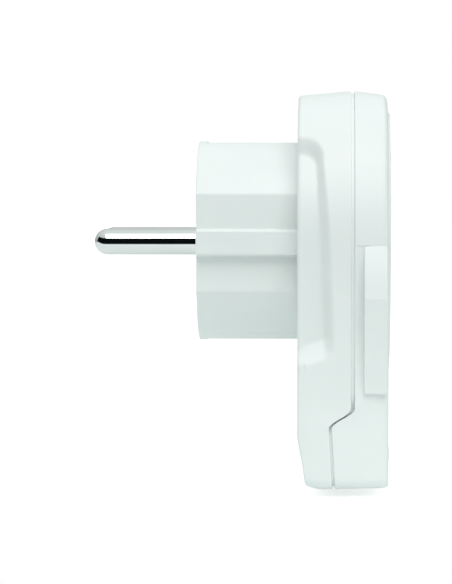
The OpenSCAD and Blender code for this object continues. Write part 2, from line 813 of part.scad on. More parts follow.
module case_screws() {
    color(steel) front_view() for (p = case_screw_spots)
        translate([p.x, p.y, 0])
            screw(rear_d + p.z - case_head_t, boss_meet_d + 3.2, case_screw_r, case_head_r, case_head_t);
}

module board_screws() {
    color(steel) front_view() for (p = board_screw_spots)
        translate([p.x, p.y, 0])
            screw(display_board_from - 0.8, display_top_d + 3.2, 0.8, 1.5, 0.8);
}

rear_shell();
front_shell();
plug_body();
socket_cup();
grip(-1);  // left_grip
grip(1);  // right_grip
contact_pin(-1);  // line_pin
contact_pin(1);  // neutral_pin
pin_contact(-1, contact_from);  // line_contact
pin_contact(1, contact_from + washer_t);  // neutral_contact
contact_washer();
contact_holder();
shutter();
shutter_spring();
earth_strap(1);  // upper_earth_strap
earth_strap(-1);  // lower_earth_strap
earth_link();
line_strip();
neutral_in_strip();
neutral_out_strip();
main_board();
metering_chip();
x2_capacitor();
reservoir_capacitor();
varistor();
fuse_resistor();
rectifier();
shunt();
backup_battery();
battery_clip();
board_link();
display_board();
processor_chip();
crystal();
lcd_frame();
contact_strips();
lcd_glass();
display_window();
key_switches();
key(-1);  // left_key
key(0);  // middle_key
key(1);  // right_key
plunger(-1);  // left_plunger
plunger(0);  // middle_plunger
plunger(1);  // right_plunger
board_screws();
case_screws();
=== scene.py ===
import math
import bmesh
import bpy
from mathutils import Matrix, Vector


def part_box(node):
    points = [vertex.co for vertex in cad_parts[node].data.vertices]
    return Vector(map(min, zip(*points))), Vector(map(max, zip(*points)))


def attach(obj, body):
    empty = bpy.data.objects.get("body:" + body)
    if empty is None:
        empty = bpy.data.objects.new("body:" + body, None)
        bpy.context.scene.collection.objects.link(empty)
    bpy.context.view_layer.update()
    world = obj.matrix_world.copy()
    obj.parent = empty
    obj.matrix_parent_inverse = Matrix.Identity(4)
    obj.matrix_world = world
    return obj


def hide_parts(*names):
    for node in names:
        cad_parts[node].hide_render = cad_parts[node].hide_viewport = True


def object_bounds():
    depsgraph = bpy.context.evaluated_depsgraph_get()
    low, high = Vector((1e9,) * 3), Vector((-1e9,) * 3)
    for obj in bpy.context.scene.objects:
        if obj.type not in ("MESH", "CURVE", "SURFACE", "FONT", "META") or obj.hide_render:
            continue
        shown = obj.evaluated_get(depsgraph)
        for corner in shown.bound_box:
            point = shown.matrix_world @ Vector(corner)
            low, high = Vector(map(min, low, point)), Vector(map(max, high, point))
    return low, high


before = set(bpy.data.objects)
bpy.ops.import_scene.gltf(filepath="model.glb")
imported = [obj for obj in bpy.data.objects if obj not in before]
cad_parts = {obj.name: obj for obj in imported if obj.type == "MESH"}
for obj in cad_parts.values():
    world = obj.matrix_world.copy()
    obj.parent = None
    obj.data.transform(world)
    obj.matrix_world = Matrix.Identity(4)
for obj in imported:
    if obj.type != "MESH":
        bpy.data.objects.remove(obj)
cad_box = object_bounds()

# ---- Plug body ----
# The round moulding that goes into the wall socket: white ABS, moulded with flats, slanted
# facets and a guide rib on both sides. It is clamped in the rear shell by its flange.
# Shapes are worked in millimetres as seen from the front: x across, y up, z the depth from
# the plug's end face. FROM_FRONT turns them into the part's frame.
MM = 0.001
TOUCHING = 0.0005  # corners nearer to each other than this are one corner
SLIVER = 0.002  # faces narrower than this are taken out
FROM_FRONT = Matrix.Rotation(math.radians(90), 4, "X") @ Matrix.Scale(MM, 4)


def reach(node):
    """A CAD node's lowest and highest corner as seen from the front, in millimetres."""
    low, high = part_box(node)
    return Vector((low.x, low.z, -high.y)) / MM, Vector((high.x, high.z, -low.y)) / MM


def verts_of(made):
    """The corners among what an operator has made."""
    return [g for g in made if isinstance(g, bmesh.types.BMVert)]


def block(bm, corner, opposite):
    """A block between two opposite corners, given in any order."""
    low, high = (Vector([pick(pair) for pair in zip(corner, opposite)]) for pick in (min, max))
    size = Matrix.Diagonal((high - low).to_4d())
    size[3][3] = 1
    place = Matrix.Translation((low + high) / 2) @ size
    return bmesh.ops.create_cube(bm, size=1, matrix=place)["verts"]


def turned(bm, profile, at=(0, 0), steps=64, start=0):
    """Turns a [radius, depth from the start] profile about a line that runs along the depth."""
    line = [bm.verts.new((at[0] + r, at[1], start + depth)) for r, depth in profile]
    edges = [bm.edges.new(pair) for pair in zip(line, line[1:])]
    bmesh.ops.spin(bm, geom=line + edges, cent=(at[0], at[1], 0), axis=(0, 0, 1), dvec=(0, 0, 0),
                   angle=math.tau, steps=steps, use_merge=True)
    bmesh.ops.remove_doubles(bm, verts=bm.verts, dist=TOUCHING)


def lone_block(corner, opposite):
    """A block as a shape of its own, to cut with or to join on."""
    bm = bmesh.new()
    block(bm, corner, opposite)
    return bm


def flatted_bar(radius, flats, start, end, steps=180):
    """A round bar with flats along it, each given by its angle in degrees and its distance."""
    bm = bmesh.new()
    bmesh.ops.create_circle(bm, cap_ends=True, radius=radius, segments=steps)
    for angle, distance in flats:
        way = Vector((math.cos(math.radians(angle)), math.sin(math.radians(angle)), 0))
        bmesh.ops.bisect_plane(bm, geom=bm.verts[:] + bm.edges[:] + bm.faces[:],
                               plane_co=way * distance, plane_no=way, clear_outer=True)
    top = bmesh.ops.extrude_face_region(bm, geom=bm.faces[:])["geom"]
    bmesh.ops.translate(bm, verts=verts_of(top), vec=(0, 0, end - start))
    bmesh.ops.translate(bm, verts=bm.verts, vec=(0, 0, start))
    return bm


def placed(name, data):
    """A new object of the scene."""
    made = bpy.data.objects.new(name, data)
    bpy.context.scene.collection.objects.link(made)
    return made


def combined(bm, tool, operation="DIFFERENCE"):
    """Cuts a closed shape from another, or joins it on, and returns the result."""
    pair = []
    for shape in (bm, tool):
        bmesh.ops.recalc_face_normals(shape, faces=shape.faces)
        mesh = bpy.data.meshes.new("blank")
        shape.to_mesh(mesh)
        shape.free()
        pair.append(placed("blank", mesh))
    boolean = pair[0].modifiers.new("boolean", "BOOLEAN")
    boolean.operation = operation
    boolean.object = pair[1]
    boolean.solver = "EXACT"
    result = bmesh.new()
    result.from_object(pair[0], bpy.context.evaluated_depsgraph_get())
    for used in pair:
        mesh = used.data
        bpy.data.objects.remove(used)
        bpy.data.meshes.remove(mesh)
    bmesh.ops.remove_doubles(result, verts=result.verts, dist=TOUCHING)
    return result


def creases(bm, least, where=lambda middle: True):
    """The edges that bend by more than the given angle and whose middle passes a test."""
    return [e for e in bm.edges if e.is_manifold and e.calc_face_angle() > math.radians(least)
            and where((e.verts[0].co + e.verts[1].co) / 2)]


def roll(bm, edges, radius, segments=2):
    """Rounds edges, as a moulded or tumbled piece has them."""
    bmesh.ops.bevel(bm, geom=edges, offset=radius, offset_type="OFFSET", segments=segments,
                    profile=0.5, affect="EDGES", material=-1, clamp_overlap=True)


def piece(bm, name, slot, materials, *nodes, body="housing", sharp=32):
    """Makes a shape a finished piece that rides on a body and stands for its CAD nodes."""
    bmesh.ops.remove_doubles(bm, verts=bm.verts, dist=TOUCHING)
    bmesh.ops.dissolve_degenerate(bm, edges=bm.edges, dist=SLIVER)
    many_sided = [f for f in bm.faces if len(f.verts) > 4]
    bmesh.ops.triangulate(bm, faces=many_sided, ngon_method="EAR_CLIP")
    # Two faces on the same corners are a fin without thickness, so both are taken out
    same = {}
    for face in bm.faces:
        same.setdefault(frozenset(face.verts), []).append(face)
    fins = [face for twins in same.values() if len(twins) > 1 for face in twins]
    bmesh.ops.delete(bm, geom=fins, context="FACES")
    bmesh.ops.recalc_face_normals(bm, faces=bm.faces)
    bm.transform(FROM_FRONT)
    mesh = bpy.data.meshes.new(name)
    bm.to_mesh(mesh)
    bm.free()
    for material in materials:
        mesh.materials.append(material)
    mesh.shade_smooth()
    mesh.set_sharp_from_angle(angle=math.radians(sharp))
    made = placed(name, mesh)
    shading = made.modifiers.new("even_shading", "WEIGHTED_NORMAL")
    shading.keep_sharp = True
    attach(made, body)
    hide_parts(*nodes)
    return made


def linear(code):
    """An sRGB hex colour as linear RGBA."""
    parts = [int(code[i:i + 2], 16) / 255 for i in (0, 2, 4)]
    return [p / 12.92 if p <= 0.04045 else ((p + 0.055) / 1.055) ** 2.4 for p in parts] + [1.0]


def add(tree, kind, inputs=None, stops=(), **settings):
    """Adds a node with its settings. An input is a value or the socket that feeds it, and the
    stops are a colour ramp's places and hex colours."""
    made = tree.nodes.new("ShaderNode" + kind)
    for number, (position, code) in enumerate(stops):
        made.color_ramp.elements[number].position = position
        made.color_ramp.elements[number].color = linear(code)
    for key, value in settings.items():
        setattr(made, key, value)
    for key, value in (inputs or {}).items():
        if isinstance(value, bpy.types.NodeSocket):
            tree.links.new(value, made.inputs[key])
        else:
            made.inputs[key].default_value = value
    return made


def blank_material(name):
    """A new material, its empty tree, and the coordinates in metres."""
    material = bpy.data.materials.new(name)
    material.use_nodes = True
    tree = material.node_tree
    tree.nodes.clear()
    return material, tree, add(tree, "TexCoord").outputs["Object"]


def surface(material, tree, tone, height, relief, looks):
    """Ends a material's tree: a ramp's colour, a height's relief in mm, and the other inputs."""
    bump = add(tree, "Bump", {"Height": height, "Distance": relief * MM, "Strength": 1.0})
    shader = add(tree, "BsdfPrincipled", {"Base Color": tone.outputs["Color"],
                                          "Normal": bump.outputs["Normal"], **looks})
    add(tree, "OutputMaterial", {"Surface": shader.outputs["BSDF"]})
    return material


def finish(name, stops, mottle, grain, gloss, relief, looks, stretch=(1, 1, 1)):
    """A colour mottle and a fine relief of a size and height in mm, with the roughness between
    two values. A stretch below 1 draws the relief out along that axis."""
    material, tree, place = blank_material(name)
    drawn = add(tree, "Mapping", {"Vector": place, "Scale": stretch})
    fine = add(tree, "TexNoise", {"Vector": drawn.outputs["Vector"], "Scale": 1 / (grain * MM),
                                  "Detail": 3.0})
    broad = add(tree, "TexNoise", {"Vector": place, "Scale": 1 / (mottle * MM), "Detail": 2.0})
    tone = add(tree, "ValToRGB", {"Fac": broad.outputs["Fac"]}, stops)
    rough = add(tree, "MapRange", {"Value": fine.outputs["Fac"], "From Min": 0.3, "From Max": 0.7,
                                   "To Min": gloss[0], "To Max": gloss[1]})
    return surface(material, tree, tone, fine.outputs["Fac"], relief, {
        "Roughness": rough.outputs["Result"], **looks})


def plastic(name, shade, deeper, roughness, grain, relief, ior=1.53, alpha=1.0):
    """A moulded plastic or lacquer with an even grain and a faint flow mottle, 14 mm wide."""
    return finish(name, [(0.35, deeper), (0.65, shade)], 14, grain, (roughness - 0.05, roughness + 0.05),
                  relief, {"IOR": ior, "Alpha": alpha})


# White ABS with a fine spark-eroded grain: satin, a little cool. The real grain is 0.05 mm;
# it is drawn at 0.25 mm so that it shows.
housing_abs = plastic("white_abs_spark_grain", "EFF3F2", "ECF1F0", 0.42, 0.25, 0.004)

plug_end = reach("plug_body")[1].z
PLUG_R = 18.5  # radius of the plug's round arcs
FLAT_X = 16.2  # half width across its side flats
FACET_TURN = 35.4  # slant of its facets, in degrees from the sides
FACET_X = 18.36  # distance of a facet's plane from the axis
RIB_X, RIB_Y = 18.3, 2.25  # half width and half height of the guide ribs
FLANGE_R, FLANGE_FROM = 20.39, 19.4  # the flange's radius and where it starts
CAVITY_R, CAVITY_X, CAVITY_Y = 16.7, 14.6, 15
END_WALL = 2.4  # thickness of the plug's end
PIN_X = 9.5  # distance of a pin from the axis
SLOT_X, SLOT_BOTTOM = 3.1, 16.6  # half width and floor of an earth contact's slot
OPEN_END = 30  # a cutter that has to come out at the front ends here
plug = flatted_bar(PLUG_R, [(0, FLAT_X), (180, FLAT_X)] + [
    (side + turn, FACET_X) for side in (0, 180) for turn in (FACET_TURN, -FACET_TURN)], 0, plug_end)
plug = combined(plug, lone_block((-RIB_X, -RIB_Y, 0), (RIB_X, RIB_Y, plug_end)), "UNION")
roll(plug, creases(plug, 8, lambda m: 1 < m.z < plug_end - 1 and abs(m.x) > 13), 0.3, 3)
roll(plug, creases(plug, 60, lambda m: m.z < 0.01), 0.4, 4)
flange = bmesh.new()
turned(flange, [(0, 0), (FLANGE_R - 0.19, 0), (FLANGE_R, 0.2), (FLANGE_R, 0.7), (FLANGE_R - 0.19, 0.9),
                (0, 0.9)], steps=128, start=FLANGE_FROM)
plug = combined(plug, flange, "UNION")
plug = combined(plug, flatted_bar(CAVITY_R, [
    (0, CAVITY_X), (180, CAVITY_X), (90, CAVITY_Y), (270, CAVITY_Y)], END_WALL, OPEN_END))
# A pin's hole with the seat of its head, and an earth contact's slot
for side in (-1, 1):
    openings = bmesh.new()
    turned(openings, [(0, -1), (2.6, -1), (2.6, 0), (2.45, 0.15), (2.45, 0.5), (2.05, 0.5), (2.05, 1.4),
                      (3.45, 1.4), (3.45, 3), (0, 3)], (PIN_X * side, 0), 64)
    block(openings, (-SLOT_X, side * SLOT_BOTTOM, 1.5), (SLOT_X, side * 22, OPEN_END))
    plug = combined(plug, openings)
    # The strap's hole between the slot and the cavity
    plug = combined(plug, lone_block((-2.6, side * 14, 3.1), (2.6, side * 17, 4.1)))
piece(plug, "plug_moulding", "housing_plastic", [housing_abs], "plug_body")

# ---- Contact pins ----
# Two round pins turned from brass rod and nickel plated, so that they are as bright as a
# mirror. Each is held in the plug's end wall by its neck and head and can't turn out.


def centre(low, high):
    """The middle between two corners, as seen from the front."""
    return (low.x + high.x) / 2, (low.y + high.y) / 2


def arc(centre, radius, start, end, steps=6):
    """Points along an arc, its angles in degrees from the radius direction towards the depth."""
    turn = [math.radians(start + (end - start) * i / steps) for i in range(steps + 1)]
    return [(centre[0] + radius * math.cos(a), centre[1] + radius * math.sin(a)) for a in turn]


def metal(name, shade, deeper, roughness, line, relief, stretch=(1, 1, 1)):
    """A bare or plated metal with drawn or turned lines and a tone that changes over 5 mm."""
    return finish(name, [(0.3, deeper), (0.7, shade)], 5, line, (roughness * 0.7, roughness * 1.3),
                  relief, {"Metallic": 1.0}, stretch)


# Bright nickel plate over turned brass: a neutral mirror with faint turning lines round the
# pin, drawn 0.3 mm wide so that they show.
bright_nickel = metal("bright_nickel_plate", "E6E8E7", "E0E2E1", 0.05, 0.3, 0.0003, (0.15, 1, 0.15))

PIN_R, NECK_R, HEAD_R = 2.4, 2.0, 3.4
for name in ("line_pin", "neutral_pin"):
    low, high = reach(name)
    pin = bmesh.new()
    turned(pin, arc((0, low.z + PIN_R), PIN_R, -90, 0, 16) + [
        (PIN_R, 0.4), (NECK_R, 0.4), (NECK_R, high.z - 1), (HEAD_R - 0.1, high.z - 1),
        (HEAD_R, high.z - 0.9), (HEAD_R, high.z - 0.12), (HEAD_R - 0.12, high.z), (0, high.z)],
           centre(low, high), 72)
    piece(pin, name + "_turned", "pin_nickel", [bright_nickel], name)

# ---- Earth contacts ----
# Two straps of nickel-plated spring strip, stamped and bent: the rear end is the plug's earth
# contact in its slot, the front end is the socket's earth spring. A flat link joins them.
FLAT = 0.8  # faces that bend by fewer degrees than this are one face


def refined(node, radius, segments=2, least=50):
    """A merged copy of a CAD node with its edges rolled, in front-view millimetres."""
    bm = bmesh.new()
    bm.from_mesh(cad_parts[node].data)
    bmesh.ops.remove_doubles(bm, verts=bm.verts, dist=TOUCHING * MM)
    bmesh.ops.dissolve_limit(bm, angle_limit=math.radians(FLAT), verts=bm.verts, edges=bm.edges)
    bmesh.ops.connect_verts_concave(bm, faces=bm.faces)
    roll(bm, creases(bm, least), radius * MM, segments)
    bmesh.ops.triangulate(bm, faces=[f for f in bm.faces if len(f.verts) > 4])
    bm.transform(FROM_FRONT.inverted())
    return bm


def as_drawn(node, made, radius, slot, material, body="housing", segments=2):
    """A piece that keeps its CAD node's shape, with its edges rolled."""
    piece(refined(node, radius, segments), node + "_" + made, slot, [material], node, body=body)


# Nickel plate over rolled strip: brushed silver with lines along the strip
strip_nickel = metal("nickel_plated_spring_strip", "D9D8D2", "CFCEC8", 0.2, 0.2, 0.001, (0.2, 0.05, 1))
for name in ("upper_earth_strap", "lower_earth_strap", "earth_link"):
    as_drawn(name, "stamped", 0.15, "strap_nickel", strip_nickel)

# ---- Supply strips ----
# Three brass strips that carry the current between the pins, the socket contacts and the main
# board: stamped from 0.6 mm sheet, bent, and soldered into the board by their tails.

# Bare rolled brass: warm yellow, half bright, with rolling lines
sheet_brass = metal("stamped_brass_sheet", "D9B066", "CC9F55", 0.26, 0.25, 0.001, (1, 0.15, 0.15))
for name in ("line_strip", "neutral_in_strip", "neutral_out_strip"):
    as_drawn(name, "stamped", 0.08, "contact_brass", sheet_brass)

# ---- Socket contacts ----
# Rolled brass tubes that grip the appliance's pins, slit into four springy leaves with a
# flared mouth. An insulating washer keeps the neutral one off its pin.

# Undyed nylon: a waxy cream
nylon_washer = plastic("natural_nylon", "DCD2B4", "D3C8A6", 0.4, 0.3, 0.003)
for name in ("line_contact", "neutral_contact"):
    as_drawn(name, "rolled", 0.1, "contact_brass", sheet_brass)
as_drawn("contact_washer", "moulded", 0.12, "insulator_plastic", nylon_washer)

# ---- Contact holder ----
# An ivory block of thermoset plastic that drops into the plug's cavity over the contacts. Its
# centre post is the shutter's pivot and the ring-shaped pocket round it holds the spring.

# Pressed thermoset: a dense, smooth ivory
ivory_thermoset = plastic("ivory_thermoset", "E2E0D2", "DAD8C8", 0.34, 0.4, 0.004, 1.6)
as_drawn("contact_holder", "moulded", 0.18, "insulator_plastic", ivory_thermoset)

# ---- Child shutter and its spring ----
# A disc of grey nylon that covers the contacts until both pins push it round. A coil of spring
# steel wire in the holder's pocket turns it back.


def edges_of(made):
    """The edges among what an operator has made."""
    return [g for g in made if isinstance(g, bmesh.types.BMEdge)]


# Dyed nylon: an even mid grey with a low gloss
grey_nylon = plastic("grey_nylon_shutter", "B4BBBB", "ABB3B3", 0.36, 0.3, 0.003)
as_drawn("shutter", "moulded", 0.15, "shutter_plastic", grey_nylon, "shutter")
# Drawn steel wire: dark silver with fine die lines
spring_wire = metal("drawn_spring_steel", "A9ABAE", "9B9DA0", 0.22, 0.1, 0.0005)
SPRING_R, WIRE_R, SPRING_TURNS, SPRING_PITCH = 3.1, 0.25, 3, 0.62
SPRING_END = 250  # where round the axis the coil starts and ends, in degrees
COIL_STEPS = 48  # steps of one turn
LEG_BEND = 0.4  # radius of the bend between the coil and its leg
spring_low, spring_high = reach("shutter_spring")
spring = bmesh.new()
ring = bmesh.ops.create_circle(spring, cap_ends=False, radius=WIRE_R, segments=14)["verts"]
turn = Matrix.Rotation(math.radians(SPRING_END), 4, "Z")
bmesh.ops.transform(spring, verts=ring, matrix=turn @ Matrix.Translation(
    (SPRING_R, 0, spring_low.z + WIRE_R)) @ Matrix.Rotation(math.radians(90), 4, "X"))
coil = bmesh.ops.spin(spring, geom=spring.verts[:] + spring.edges[:], cent=(0, 0, 0), axis=(0, 0, 1),
                      dvec=(0, 0, SPRING_PITCH / COIL_STEPS), angle=math.tau * SPRING_TURNS,
                      steps=COIL_STEPS * SPRING_TURNS)["geom_last"]
# The last ring is carried round a small bend and up the straight leg into the shutter
coil_top = spring_low.z + WIRE_R + SPRING_PITCH * SPRING_TURNS
bend_centre = turn @ Vector((SPRING_R, 0, coil_top + LEG_BEND))
bent = bmesh.ops.spin(spring, geom=verts_of(coil) + edges_of(coil), cent=bend_centre,
                      axis=turn @ Vector((1, 0, 0)), dvec=(0, 0, 0), angle=math.radians(90),
                      steps=8)["geom_last"]
top_ring = verts_of(bmesh.ops.extrude_edge_only(spring, edges=edges_of(bent))["geom"])
lift = spring_high.z - max(v.co.z for v in top_ring)
bmesh.ops.translate(spring, verts=top_ring, vec=(0, 0, lift))
bmesh.ops.holes_fill(spring, edges=spring.edges[:], sides=20)
piece(spring, "shutter_spring_wound", "spring_steel", [spring_wire], "shutter_spring", body="shutter")

# ---- Rear shell ----
# The rear half of the housing, moulded in white ABS: a round-topped tray with a finger scoop
# on each side, four screw posts and a thin tongue that enters the front shell at the seam.
shell_low = reach("rear_shell")[0]
REAR = shell_low.z  # depth of the rear face
HALF_W = 27.9  # half width, and radius of the round top, at the seam
LOW = -shell_low.y  # how far the housing reaches below the axis
WALL = 1.8
CORNER_R = 2.0
FOOT_FROM, FOOT_SHARE = 15, 0.25  # the front edge's rounding is smaller at the foot
LIP = 1.05  # how far the seam's tongue lies inside the surface
GROOVE = 0.4  # depth of the groove in the seam
JOG_DEEPER, LOW_DEEPER = 0.025, 0.006  # shares by which its floor narrows on the jog and below
DRAFT = [(0, 27.0), (10.1, 27.9), (13.4, 27.5), (15.6, 27.15), (16.4, 27.0)]
UNDERSIDE = [(0, 35.2), (1.6, 42.7), (1.9, 43.2), (2.7, 43.45), (4.2, 43.7), (6.0, 43.9),
             (15.0, 43.7), (16.4, 43.6)]
SEAM_V, LOW_SEAM_V = 10.1, 5.97  # distance of the seam from the rear face, and below its jog
GROOVE_V = 10.0  # distance of the groove's middle from the rear face
JOG_TOP, JOG_H = -29.4, 3.5
SCOOP_D, SCOOP_TOP, SCOOP_CORNER = 2.8, 17.1, 2.0
SCOOP_FOOT, SCOOP_BROW = -22.3, -19.0  # where the ramp at its lower end starts and ends
SCOOP_FRONT = [(-16.7, 4.7), (1.0, 4.1), (15.6, 3.36)]
SCOOP_EDGE = [(-16.7, 2.1), (1.0, 2.05), (15.6, 1.4)]


def along(points, at):
    """The value at a place along [place, value] points, straight between them."""
    for (a, first), (b, second) in zip(points, points[1:]):
        if at <= b:
            return first + (second - first) * max(0, at - a) / (b - a)
    return points[-1][1]


def eased(t):
    """A share from 0 to 1 with a soft start and a soft end."""
    t = min(1, max(0, t))
    return t * t * (3 - 2 * t)


def outline(bm, heights):
    """The housing's outline: half round on top, straight sides, two rounded lower corners."""
    def walk(vert, points):
        for point in points:
            step = bm.verts.new(point)
            bm.edges.new((vert, step))
            vert = step
        return vert

    def swing(vert, centre, angle, steps):
        made = bmesh.ops.spin(bm, geom=[vert], cent=centre, axis=(0, 0, 1), dvec=(0, 0, 0),
                              angle=angle, steps=steps)
        return verts_of(made["geom_last"])[0]

    corner = (HALF_W - CORNER_R, CORNER_R - LOW, 0)
    left = swing(bm.verts.new((HALF_W, 0, 0)), (0, 0, 0), math.pi, 180)
    left = walk(left, [(-HALF_W, h, 0) for h in heights] + [(-HALF_W, corner[1], 0)])
    left = swing(left, (-corner[0], corner[1], 0), math.pi / 2, 10)
    right = walk(left, [(x * corner[0] / 4, -LOW, 0) for x in range(-3, 5)])
    right = swing(right, corner, math.pi / 2, 10)
    walk(right, [(HALF_W, h, 0) for h in reversed(heights)] + [(HALF_W, 0, 0)])
    bmesh.ops.remove_doubles(bm, verts=bm.verts, dist=0.001)
    return bm.edges[:]


def carried(bm, edges, steps):
    """Carries the outline through steps, each its distance from the rear face and its inset."""
    layer = bm.verts.layers.float.new("inset")
    done = foot_done = 0.0
    loop = set(v for e in edges for v in e.verts)
    for number, (v, inset) in enumerate(steps):
        if number:
            made = bmesh.ops.extrude_edge_only(bm, edges=edges)["geom"]
            loop = set(verts_of(made))
            edges = [e for e in edges_of(made) if loop.issuperset(e.verts)]
        wide = (HALF_W - inset) / (HALF_W - done)
        foot = inset * (FOOT_SHARE if v > FOOT_FROM else 1)
        deep = (LOW - foot) / (LOW - foot_done)
        bmesh.ops.scale(bm, verts=[w for w in loop if w.co.y > 0], vec=(wide, wide, 1))
        bmesh.ops.scale(bm, verts=[w for w in loop if w.co.y <= 0], vec=(wide, deep, 1))
        for w in loop:
            w.co.z = REAR + v
            w[layer] = inset
        done, foot_done = inset, foot
    return edges


def seam_shift(v, height, side):
    """How far the seam's line moves towards the rear at a height, and how much it narrows."""
    below = eased((JOG_TOP - height) / JOG_H)
    drift = 0.63 * max(0, JOG_TOP - JOG_H - height) / 10.5
    line = GROOVE_V + (LOW_SEAM_V - GROOVE_V) * below + drift
    share = (v - 1) / 8.75 if side < 0 else (15 - v) / 4.55
    return (SEAM_V - line + side * 0.08 * below) * min(1, max(0, share))


def scoop_depth(v, height):
    """How deep the finger scoop is at a distance from the rear face and a height."""
    past = max(0, v - along(SCOOP_FRONT, height) + SCOOP_CORNER)
    above = max(0, height - SCOOP_TOP + SCOOP_CORNER)
    away = math.hypot(past, above) - SCOOP_CORNER
    share = above / (past + above) if past + above > 0 else 0
    width = along(SCOOP_EDGE, height) * (1 - share) + 2.3 * share
    foot, brow = SCOOP_FOOT + 1.9 * v / 5.5, SCOOP_BROW + 2.2 * v / 5.5
    ramp = min(1, max(0, (height - foot) / (brow - foot)))
    return (SCOOP_D - 0.5 * min(1, max(0, height / SCOOP_TOP))) * (1 - eased(away / width)) * ramp


def shaped(bm, side):
    """Gives the plain tray its draft, its sloped underside, the seam's jog and the scoops."""
    layer = bm.verts.layers.float["inset"]
    for w in bm.verts:
        v, inner = w.co.z - REAR, w[layer] > LIP + 0.1
        height = w.co.y
        wide = along(DRAFT, v) / HALF_W
        w.co.x *= wide
        w.co.y *= wide if height > 0 else along(UNDERSIDE, v - 1.4 if inner and side < 0 else v) / LOW
        if abs(w[layer] - GROOVE) < 0.001:
            on_jog = eased((JOG_TOP + 2 - height) / 2) * eased((height - JOG_TOP + JOG_H + 1) / 2)
            w.co.x *= (1 - JOG_DEEPER * on_jog) * (1 - LOW_DEEPER * eased(-height / 12))
        if side < 0:
            scoop = scoop_depth(v, w.co.y)
            if height > 0:
                reached = math.hypot(w.co.x, w.co.y)
                w.co.x *= (reached - scoop) / reached
                w.co.y *= (reached - scoop) / reached
            elif abs(w.co.x) > 20:
                w.co.x -= math.copysign(scoop, w.co.x)
        w.co.z -= seam_shift(v, w.co.y, side)


def close_ends(bm):
    """Closes the open ends with flat faces."""
    bmesh.ops.holes_fill(bm, edges=[e for e in bm.edges if e.is_boundary], sides=0)


EDGE_R = 0.6
rear_edge = [(EDGE_R * (1 - math.cos(a)), EDGE_R * (1 - math.sin(a)))
             for a in (math.radians(18 * i) for i in range(6))]
rear_steps = rear_edge + [(0.85 + 0.25 * i, 0) for i in range(32)] + [
    (9.0, 0), (9.4, 0), (9.62, 0), (9.71, 0.04), (9.75, 0.15), (9.75, GROOVE), (10.37, GROOVE),
    (10.37, LIP), (11.2, LIP), (11.3, LIP + 0.1), (11.3, WALL), (9.4, WALL)] + [
    (8.6 - 0.5 * i, WALL) for i in range(13)] + [(1.9, WALL)]
JOG_HEIGHTS = [JOG_TOP - 0.25 * i for i in range(16)] + [-34.5, -36, -37.5, -39, -40, -41]
side_heights = [-1.2 * i for i in range(1, 13)] + [-15.6 - 0.4 * i for i in range(18)] + [
    -24, -25.5, -27, -28.4] + JOG_HEIGHTS
rear = bmesh.new()
carried(rear, outline(rear, side_heights), rear_steps)
shaped(rear, -1)
close_ends(rear)

CASE_SCREWS = [(s * x, z, sink) for x, z, sink in ((10.99, 20.66, 1.3), (23.0, -38.0, 2.3))
               for s in (-1, 1)]  # place, and how deep the head's seat is sunk
POST_R, POST_END = 1.95, 10.6
BOARD_POSTS = [(s * x, z) for x, z in ((19, -27), (12, -39.8)) for s in (-1, 1)]
posts = bmesh.new()
for x, z, sink in CASE_SCREWS:
    turned(posts, [(0, 1.4), (POST_R + 0.2, 1.4), (POST_R, 3.5), (POST_R, POST_END - 0.2),
                   (POST_R - 0.2, POST_END), (0, POST_END)], (x, z), 40, REAR)
for x, z in BOARD_POSTS:
    turned(posts, [(0, 1.5), (1.5, 1.5), (1.4, 3.3), (1.3, 3.4), (0, 3.4)], (x, z), 32, REAR)
rear = combined(rear, posts, "UNION")
holes = bmesh.new()
turned(holes, [(0, -1), (18.85, -1), (18.85, 0), (18.55, 0.3), (18.55, 0.85), (20.5, 0.85), (20.5, 5),
               (0, 5)], steps=144, start=REAR)
for x, z, sink in CASE_SCREWS:
    turned(holes, [(0, -1), (2.15, -1), (2.15, sink - 1.2), (2.0, sink - 1), (2.0, sink),
                   (1.25, sink), (1.25, 14), (0, 14)], (x, z), 48, REAR)
rear = combined(rear, holes)
piece(rear, "rear_shell_moulding", "housing_plastic", [housing_abs], "rear_shell", sharp=38)

# ---- Main board ----
# A green glass-epoxy board, 1.2 mm thick, that rests on the rear shell's posts. It carries the
# supply, the metering chip and the shunt, whose legs are soldered on its rear side.


def circuit_board(name, lacquer, deeper):
    """Solder-lacquered glass epoxy: copper tracks 3.2 mm apart show under the lacquer."""
    material, tree, place = blank_material(name)
    flat_way = add(tree, "Mapping", {"Vector": place, "Scale": (1, 0.001, 1)})
    tracks = add(tree, "TexVoronoi", {"Vector": flat_way.outputs["Vector"], "Scale": 1 / (3.2 * MM)},
                 distance="CHEBYCHEV", feature="DISTANCE_TO_EDGE")
    weave = add(tree, "TexNoise", {"Vector": place, "Scale": 1 / (0.5 * MM), "Detail": 2.0})
    tone = add(tree, "ValToRGB", {"Fac": tracks.outputs["Distance"]}, [(0.05, deeper), (0.09, lacquer)])
    return surface(material, tree, tone, weave.outputs["Fac"], 0.01, {"Roughness": 0.3, "IOR": 1.55})


green_epoxy = circuit_board("green_solder_lacquer", "2E7A4A", "17552F")
# Tin solder on copper pads: bright, soft-edged beads
tin_solder = metal("tin_solder", "C9CACB", "B9BABC", 0.25, 0.4, 0.002)


def second_material(bm, first_faces):
    """Gives every face but the first ones the piece's second material."""
    for face in bm.faces:
        face.material_index = 0 if face in first_faces else 1


def soldered(node, beads):
    """A board with cones of solder on its rear side, as its second material."""
    bm = refined(node, 0.08, 1)
    board_faces = set(bm.faces)
    for bead in beads:
        turned(bm, [(0, 0), (BEAD_R, 0), (BEAD_R * 0.62, -BEAD_H * 0.35), (BEAD_R * 0.36, -BEAD_H),
                    (0, -BEAD_H)], bead, 20, reach(node)[0].z)
    second_material(bm, board_faces)
    piece(bm, node + "_soldered", "circuit_board", [green_epoxy, tin_solder], node)


